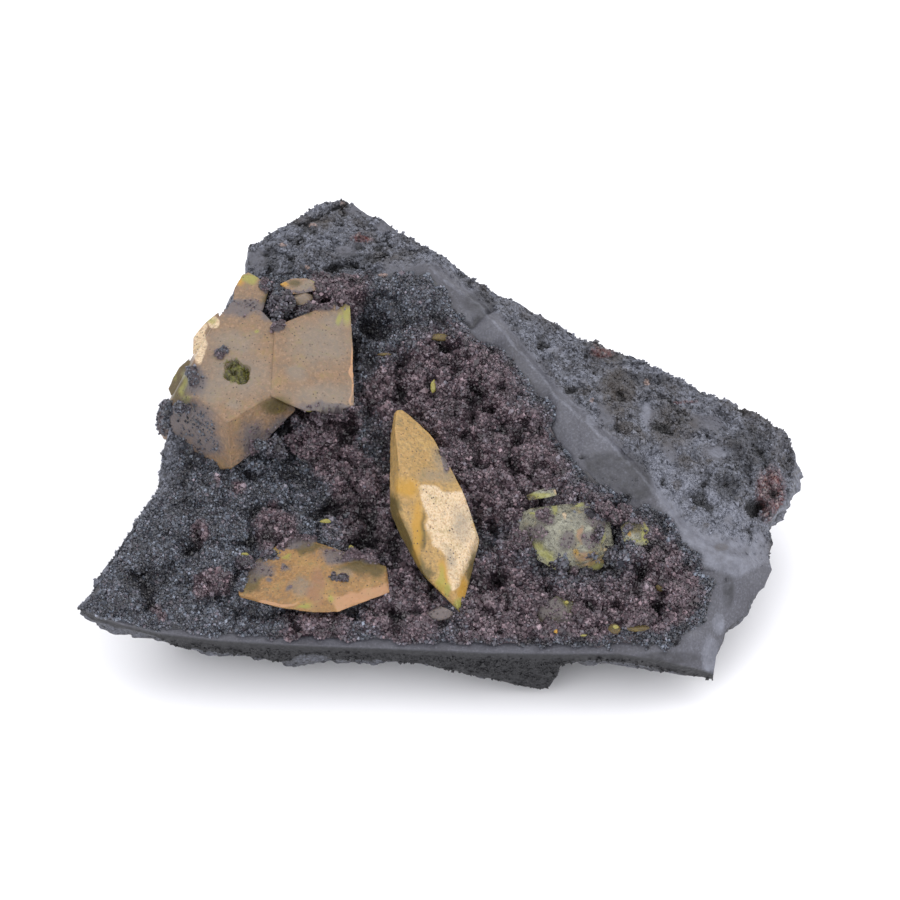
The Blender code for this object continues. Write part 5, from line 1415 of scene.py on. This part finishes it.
def sturmanite(settings, name, body, warm, glassy=False):
    """Sturmanite: a waxy yellow-brown crystal with a frosted, sandy skin; where glassy, corroded and clear.

    Colours follow the markings: a pale etched skin, amber and yellow-green windows, brown-olive stains,
    a thin grey-mauve coat with dark specks, and the dark druse that has grown over it. Some hold painted
    light and shade: pale and peach faces turned to the lamps are partly painted light, a peach line on an
    edge is a painted highlight, pale ovals and white specks on the glassy crystals are painted glints, and
    some stains are painted shade on shaded flanks and edges.
    """
    material, tree, spot, marks, (broad, fine, sand) = start_material(
        name, (*CRYSTAL_MARKS, "pit"), ((1.6, 4.0, 0.6), (0.35, 4.0, 0.75), (0.16, 2.0, 0.6)))
    druse, coat, haze, lemon, pale, peach, tan, amber, stain, pit = marks
    specks = add(tree, "ShaderNodeTexVoronoi", {"Vector": spot, "Scale": per_mm(0.36)}, "Distance")
    ragged = ((broad, 1.1), (fine, 1.2)) if glassy else ((broad, 0.7), (fine, 0.6))
    colour = painted(tree, body, (broad, warm, 0.3, 0.75, 0.1, 0.85),
                     (fine, settings.shade, 0.48, 0.66, 0.0, 0.6),
                     (fine, settings.pale, 0.28, 0.5, 0.22, 0.0),
                     (sand, settings.stain, 0.5, 0.7, 0.0, 0.3))
    # white specks on the glassy crystals: painted glints
    if glassy:
        colour = painted(tree, colour, (sand, settings.clear, 0.52, 0.68, 0.0, 0.6))
    sandy = painted(tree, settings.pale, (sand, warm, 0.45, 0.65, 0.0, 0.55),
                    (fine, settings.shade, 0.5, 0.68, 0.0, 0.4))
    # pale and peach include painted light on faces turned to the lamps and a painted highlight on an edge;
    # stain includes painted shade
    for mark, soft, most, paint in ((pale, 0.12, 1.0, sandy), (tan, 0.3, 0.8, settings.warm),
                                    (peach, 0.15, 0.9, settings.peach), (haze, 0.6, 0.55, settings.haze),
                                    (stain, 0.4, 0.85, settings.stain), (amber, 0.45, 0.8, settings.amber),
                                    (lemon, 0.5, 0.75, settings.lemon), (coat, 0.35, 0.9, settings.coat)):
        colour = painted(tree, colour, (torn(tree, mark, ragged, soft, most), paint))
    # dark specks of ore, few on the bare skin and many on the coat
    reach = torn(tree, coat, ragged, 0.3, 0.27, 0.19)
    near_speck = add(tree, "ShaderNodeMath", {0: specks, 1: reach}, operation="LESS_THAN")
    in_patch = add(tree, "ShaderNodeMapRange", {"Value": broad, **limits(0.38, 0.6, 0.1, 0.85)})
    speckled = add(tree, "ShaderNodeMath", {0: near_speck, 1: in_patch}, operation="MULTIPLY")
    in_pit = torn(tree, pit, ((broad, 0.8), (fine, 1.0)), 0.12)
    glass = painted(tree, settings.pit, (fine, settings.lemon, 0.45, 0.65, 0.0, 0.42))
    covered = torn(tree, druse, ragged, 0.15)
    grown = painted(tree, settings.druse, (fine, settings.coat, 0.4, 0.7, 0.0, 0.7))
    colour = painted(tree, colour, (speckled, settings.druse), (in_pit, glass), (covered, grown))
    bumps = add(tree, "ShaderNodeBump", {"Strength": 0.4, "Distance": 0.05 * MM, "Height": sand})
    bumps = add(tree, "ShaderNodeBump", {"Strength": 0.5, "Distance": 0.16 * MM, "Height": fine,
                                         "Normal": bumps})
    inputs = {"Base Color": colour, "IOR": 1.5, "Specular IOR Level": 0.3, "Normal": bumps,
              "Subsurface Radius": (1.0, 0.6, 0.25), "Subsurface Scale": 0.6 * MM}
    if not glassy:
        dull = add(tree, "ShaderNodeMapRange", {"Value": in_pit, **limits(0.0, 1.0, 0.45, 0.12)})
        waxy = add(tree, "ShaderNodeMapRange", {"Value": covered, **limits(0.0, 1.0, 0.2, 0.0)})
        finish_material(tree, {**inputs, "Roughness": dull, "Subsurface Weight": waxy})
        return material
    opaque = coat
    for mark in (pale, tan, lemon):
        opaque = add(tree, "ShaderNodeMath", {0: opaque, 1: mark}, operation="MAXIMUM")
    opaque = torn(tree, opaque, ragged, 0.4)
    veiled = add(tree, "ShaderNodeMapRange", {"Value": fine, **limits(0.38, 0.6, 0.1, 0.95)})
    for mark in (covered, veiled):
        opaque = add(tree, "ShaderNodeMath", {0: opaque, 1: mark}, operation="MAXIMUM")
    dull = add(tree, "ShaderNodeMapRange", {"Value": fine, **limits(0.3, 0.7, 0.15, 0.4)})
    clear = add(tree, "ShaderNodeMapRange", {"Value": opaque, **limits(0.0, 1.0, 0.85, 0.1)})
    depth = add(tree, "ShaderNodeVolumeAbsorption", {"Color": settings.clear,
                                                     "Density": settings.absorption})
    finish_material(tree, {**inputs, "Roughness": dull, "Transmission Weight": clear}, depth)
    return material


def whole(name, count, least, most, description):
    """A whole number among the settings."""
    return IntProperty(name=name, description=description, default=count, min=least, max=most)


def length(name, metres, least, description):
    """A length among the settings."""
    return FloatProperty(name=name, description=description, default=metres, min=least, unit="LENGTH")


def power(name, watts, description):
    """A light's power among the settings."""
    return FloatProperty(name=name, description=description, default=watts, min=0.0, unit="POWER")


def paint(name, colour, description):
    """A colour among the settings, from sRGB hex."""
    return FloatVectorProperty(name=name, description=description, default=linear(colour), subtype="COLOR",
                               size=4)


class StoneSettings(bpy.types.PropertyGroup):
    columns: whole("Columns", 780, 200, 1200, "Number of points round the slab")
    grain_spacing: length("Grain spacing", 0.00015, 0.0001, "Mean distance of crumbs on the broken stone")
    grain_size: length("Grain size", 0.00012, 0.00005, "Half the length of a crumb on the broken stone")
    band: paint("Smooth band", "3c3b42", "Fine-grained hematite of the fracture band")
    # pale also paints the ridge line's painted highlight and the painted light of lit faces
    pale: paint("Pale", "7f828e", "Fresh edges, the ridge and the lighter grains")
    # dark also paints the painted shade of the dark areas, of the channel at the crust's right edge and of
    # the walls at the front
    dark: paint("Dark", "1d1d21", "Weathered hollows between the grains")
    brown: paint("Brown", "3e3731", "Brownish weathered specks")
    # depth paints a painted shade into the hollows, holes and grooves, and dark grains into the rust
    depth: paint("Depth", "141416", "Crevices of the broken stone")
    spot: paint("Spot", "968078", "Pinkish and tan specks")
    # the strip's dark is partly its own colour and partly a painted shade of the undercut front
    strip: paint("Strip", "151519", "Undercut strip along the front")
    rust: paint("Rust", "5c2c29", "Reddish lump at the right end")


class CrustSettings(bpy.types.PropertyGroup):
    columns: whole("Columns", 720, 200, 1200, "Number of points round the crust")
    grain_spacing: length("Grain spacing", 0.000125, 0.0001, "Mean distance between neighbouring grains")
    grain_size: length("Grain size", 0.00013, 0.00005, "Half the length of a grain of the druse")
    purple: paint("Purple-brown", "372931", "Hausmannite in the middle")
    blue: paint("Blue-black", "24252c", "Hausmannite at the left and along the edge")
    # depth paints a painted shade into the creases, between the knobs, on the clumps' skins and under the
    # crust, and also a mottle
    depth: paint("Depth", "100e12", "Hollows and creases between the heads")
    # pale and silver colour the lightest grains, and also the few grains painted as glints
    pale: paint("Pale grains", "947f86", "The lightest purple grains")
    silver: paint("Silver grains", "7f8795", "The lightest blue-black grains")


class CrystalSettings(bpy.types.PropertyGroup):
    steps: whole("Steps", 80, 10, 140, "Number of steps across each side of a crystal")
    absorption: FloatProperty(name="Absorption", default=120.0, min=0.0,
                              description="How strongly a glassy crystal takes up light, per metre")
    tan: paint("Tan", "75624f", "Body of the pair of crystals")
    golden: paint("Golden", "a98d57", "Body of the crystal in the middle")
    orange: paint("Orange", "7c5c38", "Body of the crystal at the lower left")
    warm: paint("Warm", "85634a", "Orange-brown cast of the sturmanite")
    honey: paint("Honey", "9c7440", "Warmer cast of the golden and orange crystals")
    haze: paint("Haze", "75716a", "Thin bluish grey film")
    # peach is partly painted light: the lower-left crystal's face turned to the lamps, and a painted
    # highlight on the pair's right edge
    peach: paint("Peach", "a98262", "Smooth light face of the orange crystal")
    shade: paint("Shade", "625a50", "Greyish mottle in the sturmanite")
    # pale also paints the painted light on the centre crystal's face turned to the lamps
    pale: paint("Pale", "c9b496", "Etched, sandy faces")
    amber: paint("Amber", "a9802e", "Amber windows")
    lemon: paint("Lemon", "8b8a44", "Yellow-green edges")
    # stain also paints shade: on the centre crystal's left flank and along the lower-left crystal's top
    # edge
    stain: paint("Stain", "4a4124", "Olive-brown stains")
    coat: paint("Coat", "5c5657", "Grey-mauve coat of manganese ore dust")
    druse: paint("Druse", "352c30", "Dark grains grown over the crystals")
    pit: paint("Pit", "2a260c", "Dark olive glass in the pit")
    # clear also paints the white specks that are painted glints on the glassy crystals
    clear: paint("Clear", "b4b4a2", "Body of the glassy crystals")
    cloudy: paint("Cloudy", "504e41", "Cloudy parts of the glassy crystals")


class StageSettings(bpy.types.PropertyGroup):
    floor: paint("Floor", "eeeef0", "Colour of the floor")
    sky: FloatProperty(name="Sky", default=1.05, min=0.0,
                       description="Strength of the even light from all round")
    above: power("Light above", 2.0, "Power of the soft light above and behind")
    right: power("Light at the right", 1.4, "Power of the soft light at the right")
    front: power("Light in front", 2.5, "Power of the soft light at the front left")


class SPECIMEN_OT_stone(bpy.types.Operator):
    """Build the slab of ore with its band, ridge, broken faces, walls and base"""
    bl_idname = "specimen.stone"
    bl_label = "Stone"

    def execute(self, context):
        settings = context.scene.specimen_stone
        rings, marks = stone_rings(settings.columns)
        smooth = np.append(marks["rough"][:-1].ravel() < 0.5, np.ones(2 * rings.shape[1], bool))
        ore = hematite_ore(settings)
        stone = add_rings("stone", rings, ore, marks, smooth)
        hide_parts("rock_matrix")
        places = stone_grain_places(settings.grain_spacing / MM, settings.grain_size / MM)
        add_grains("stone_grains", *places, ore, "ore", 96)
        return {"FINISHED"}


class SPECIMEN_OT_crust(bpy.types.Operator):
    """Build the sugary crust: its lumpy skin, and the grains that cover it"""
    bl_idname = "specimen.crust"
    bl_label = "Crust"

    def execute(self, context):
        settings = context.scene.specimen_crust
        edge = matched_loop(CRUST_STRETCHES, settings.columns)
        edge = moved_out(edge, 0.1 + 0.25 * noise(edge[:, 0], edge[:, 1], 0.9, 74))
        heart = np.array(CRUST_CENTRE)
        loops = np.concatenate([between(heart + (edge - heart) * 0.01, edge, CRUST_RINGS), edge[None]])
        upper, crease = crust_surface(loops[..., 0], loops[..., 1])
        x, y = np.moveaxis(loops[::-UNDER_STEP], -1, 0)
        under = place(x, y, floor_height(x, y))
        rings = np.concatenate([upper, under])
        x, y = seen(rings)
        # the crust's underside lies in a full painted shade
        marks = {"tint": purple_share(x, y), "tone": np.zeros(x.shape),
                 "crease": np.concatenate([crease, np.ones(under.shape[:2])])}
        sugar = hausmannite_druse(settings, "hausmannite_druse")
        crust = add_rings("crust", rings, sugar, marks, False)
        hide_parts("druse_crust")
        x, middles, sizes, marks = crust_grain_places(settings)
        for number, (low, high) in enumerate(zip(CRUST_PARTS, CRUST_PARTS[1:])):
            part = (x >= low) & (x < high)
            tones = {label: value[part] for label, value in marks.items()}
            name = f"crust_grains_{number + 1}"
            add_grains(name, middles[part], sizes[part], tones, sugar, "crust", 97 + number)
        return {"FINISHED"}


class SPECIMEN_OT_crystals(bpy.types.Operator):
    """Build the opaque sturmanite crystals, with the druse that has grown over them"""
    bl_idname = "specimen.crystals"
    bl_label = "Sturmanite crystals"

    def execute(self, context):
        settings = context.scene.specimen_crystals
        tan = sturmanite(settings, "sturmanite_tan", settings.tan, settings.warm)
        golden = sturmanite(settings, "sturmanite_golden", settings.golden, settings.honey)
        orange = sturmanite(settings, "sturmanite_orange", settings.orange, settings.honey)
        sugar = hausmannite_druse(context.scene.specimen_crust, "hausmannite_on_crystals")
        fine = settings.steps
        small = settings.steps // 2
        pair = [(PAIR_LEFT, fine), (PAIR_RIGHT, fine - 10), (PAIR_PRISM, small), (PAIR_PALE_LOBE, small),
                (PAIR_GREEN_LOBE, small)]
        crystals = [
            ("crystal_pair_upper_left", "sturmanite", tan, pair, PAIR_MARKS, PAIR_PIT),
            ("crystal_center", "sturmanite", golden, [(CENTER, fine)], CENTER_MARKS),
            ("crystal_lower_left", "sturmanite", orange, [(LOWER_LEFT, fine)], LOWER_LEFT_MARKS),
            ("crystal_small_top", "olive", tan, [(SMALL_TOP, small)], SMALL_TOP_MARKS),
        ]
        add_crystals(crystals, "crystal_grains", sugar, 91)
        return {"FINISHED"}


class SPECIMEN_OT_glassy_crystals(bpy.types.Operator):
    """Build the glassy, corroded crystals, with the druse that has grown over them"""
    bl_idname = "specimen.glassy_crystals"
    bl_label = "Glassy crystals"

    def execute(self, context):
        settings = context.scene.specimen_crystals
        clear = sturmanite(settings, "sturmanite_glassy", settings.clear, settings.cloudy, glassy=True)
        sugar = hausmannite_druse(context.scene.specimen_crust, "hausmannite_on_glassy")
        small = settings.steps // 2
        crystals = [
            ("crystal_right_glassy", "glassy", clear, [(RIGHT_GLASSY, settings.steps)], GLASSY_MARKS),
            ("crystal_small_right", "olive", clear, [(SMALL_RIGHT, small)], SMALL_RIGHT_MARKS),
            ("crystal_sliver", "olive", clear, [(SLIVER, small)], SLIVER_MARKS),
            ("crystal_glassy_front", "glassy", clear, [(GLASSY_FRONT, small)], GLASSY_FRONT_MARKS),
        ]
        add_crystals(crystals, "glassy_grains", sugar, 93)
        return {"FINISHED"}


class SPECIMEN_OT_clumps(bpy.types.Operator):
    """Build the clumps of druse that have grown on and between the crystals"""
    bl_idname = "specimen.clumps"
    bl_label = "Druse clumps"

    def execute(self, context):
        sugar = hausmannite_druse(context.scene.specimen_crust, "hausmannite_clumps")
        skins = [clump_skin(clump, KNOB_STEPS, 101 + number) for number, clump in enumerate(CLUMPS)]
        points, _, quads, purple = zip(*skins)
        counts = [len(part) for part in points]
        starts = np.cumsum(counts) - counts
        quads = np.concatenate([part + start for part, start in zip(quads, starts)])
        tint = np.repeat(purple, counts)
        # the clumps' skins lie in an even painted shade under their grains
        marks = {"tint": tint, "tone": np.zeros(len(tint)), "crease": np.full(len(tint), 0.6)}
        add_piece("druse_clumps", np.concatenate(points), (quads,), sugar, marks, False)
        parts = []
        for number, (points, outward, _, purple) in enumerate(skins):
            middles, sizes = grains_on(points, outward, 0.2, 0.105, 141 + number)
            parts.append((middles, sizes, np.full(len(sizes), purple)))
        add_druse_grains("clump_grains", parts, sugar, 161)
        return {"FINISHED"}


class SPECIMEN_OT_bits(bpy.types.Operator):
    """Build the loose bits and pebbles of sturmanite that lie in the crust"""
    bl_idname = "specimen.bits"
    bl_label = "Bits"

    def execute(self, context):
        settings = context.scene.specimen_crystals
        directions, quads = cube_ball(BIT_STEPS)
        rng = np.random.default_rng(171)
        points = []
        for x, y, across, up, lift, _ in BITS:
            surface, _ = crust_surface(np.array([x]), np.array([y]))
            axes = np.array([ACROSS * across, UP_SLOPE * up, FACE_NORMAL * min(across, up)])
            points.append(surface[0] + lift * FACE_NORMAL + bit_shape(directions, rng) @ axes)
        starts = len(directions) * np.arange(len(BITS))
        quads = (quads + starts[:, None, None]).reshape(-1, 4)
        kinds = np.repeat([bit[-1] for bit in BITS], len(directions))
        marks = {label: (kinds == label).astype(float) for label in (*CRYSTAL_MARKS, "pit")}
        material = sturmanite(settings, "sturmanite_bits", settings.tan, settings.warm)
        add_piece("loose_bits", np.concatenate(points), (quads,), material, marks)
        return {"FINISHED"}


def aimed(position, target):
    """A place and turn that look from a position at a target, both in metres."""
    turn = Vector(np.array(target) - np.array(position)).to_track_quat("-Z", "Y")
    return Matrix.LocRotScale(Vector(position), turn, None)


def staged(context, name, data):
    """A new object of the stage, linked to the scene."""
    item = bpy.data.objects.new(name, data)
    context.scene.collection.objects.link(item)
    return item


class SPECIMEN_OT_stage(bpy.types.Operator):
    """Set the floor, the lights and the camera"""
    bl_idname = "specimen.stage"
    bl_label = "Stage"

    def execute(self, context):
        settings = context.scene.specimen_stage
        # matt white paint
        material, tree, *_ = start_material("painted_floor")
        finish_material(tree, {"Base Color": settings.floor, "Roughness": 0.9, "Specular IOR Level": 0.2})
        mesh = bpy.data.meshes.new("floor")
        corners = [(x * FLOOR_REACH, y * FLOOR_REACH, 0) for x, y in ((-1, -1), (1, -1), (1, 1), (-1, 1))]
        mesh.from_pydata(corners, [], [(0, 1, 2, 3)])
        mesh.materials.append(material)
        floor = staged(context, "floor", mesh)
        world = bpy.data.worlds.new("studio")
        world.use_nodes = True
        world.node_tree.nodes["Background"].inputs["Strength"].default_value = settings.sky
        world.node_tree.nodes["Background"].inputs["Color"].default_value = SKY_COLOUR
        context.scene.world = world
        for name, size, position in LIGHTS:
            light = bpy.data.lights.new(name, "AREA")
            light.energy = getattr(settings, name)
            light.size = size
            staged(context, name, light).matrix_world = aimed(position, LIGHT_TARGET)
        camera = staged(context, "camera", bpy.data.cameras.new("camera"))
        camera.data.sensor_width = SENSOR_WIDTH
        camera.data.lens = SENSOR_WIDTH * SIGHT_DISTANCE / SEEN_WIDTH
        camera.data.clip_start = NEAREST_SEEN
        camera.matrix_world = aimed(EYE * MM, (EYE + SIGHT) * MM)
        context.scene.camera = camera
        context.scene.view_settings.view_transform = "Standard"
        return {"FINISHED"}


SETTINGS = {"specimen_stone": StoneSettings, "specimen_crust": CrustSettings,
            "specimen_crystals": CrystalSettings, "specimen_stage": StageSettings}
OPERATORS = (SPECIMEN_OT_stone, SPECIMEN_OT_crust, SPECIMEN_OT_crystals, SPECIMEN_OT_glassy_crystals,
             SPECIMEN_OT_clumps, SPECIMEN_OT_bits, SPECIMEN_OT_stage)


class SPECIMEN_PT_build(bpy.types.Panel):
    """The pieces of the specimen, with their settings"""
    bl_label = "Specimen"
    bl_space_type = "VIEW_3D"
    bl_region_type = "UI"
    bl_category = "Specimen"

    def draw(self, context):
        for operator in OPERATORS:
            self.layout.operator(operator.bl_idname)
        for label, group in SETTINGS.items():
            settings = getattr(context.scene, label)
            box = self.layout.box()
            for key in group.__annotations__:
                box.prop(settings, key)


def register():
    for group in (*SETTINGS.values(), *OPERATORS, SPECIMEN_PT_build):
        bpy.utils.register_class(group)
    for label, group in SETTINGS.items():
        setattr(bpy.types.Scene, label, PointerProperty(type=group))


def unregister():
    for label in SETTINGS:
        delattr(bpy.types.Scene, label)
    for group in (*SETTINGS.values(), *OPERATORS, SPECIMEN_PT_build):
        bpy.utils.unregister_class(group)


def main():
    register()
    for operator in OPERATORS:
        family, name = operator.bl_idname.split(".")
        getattr(getattr(bpy.ops, family), name)()


if __name__ == "__main__":
    main()
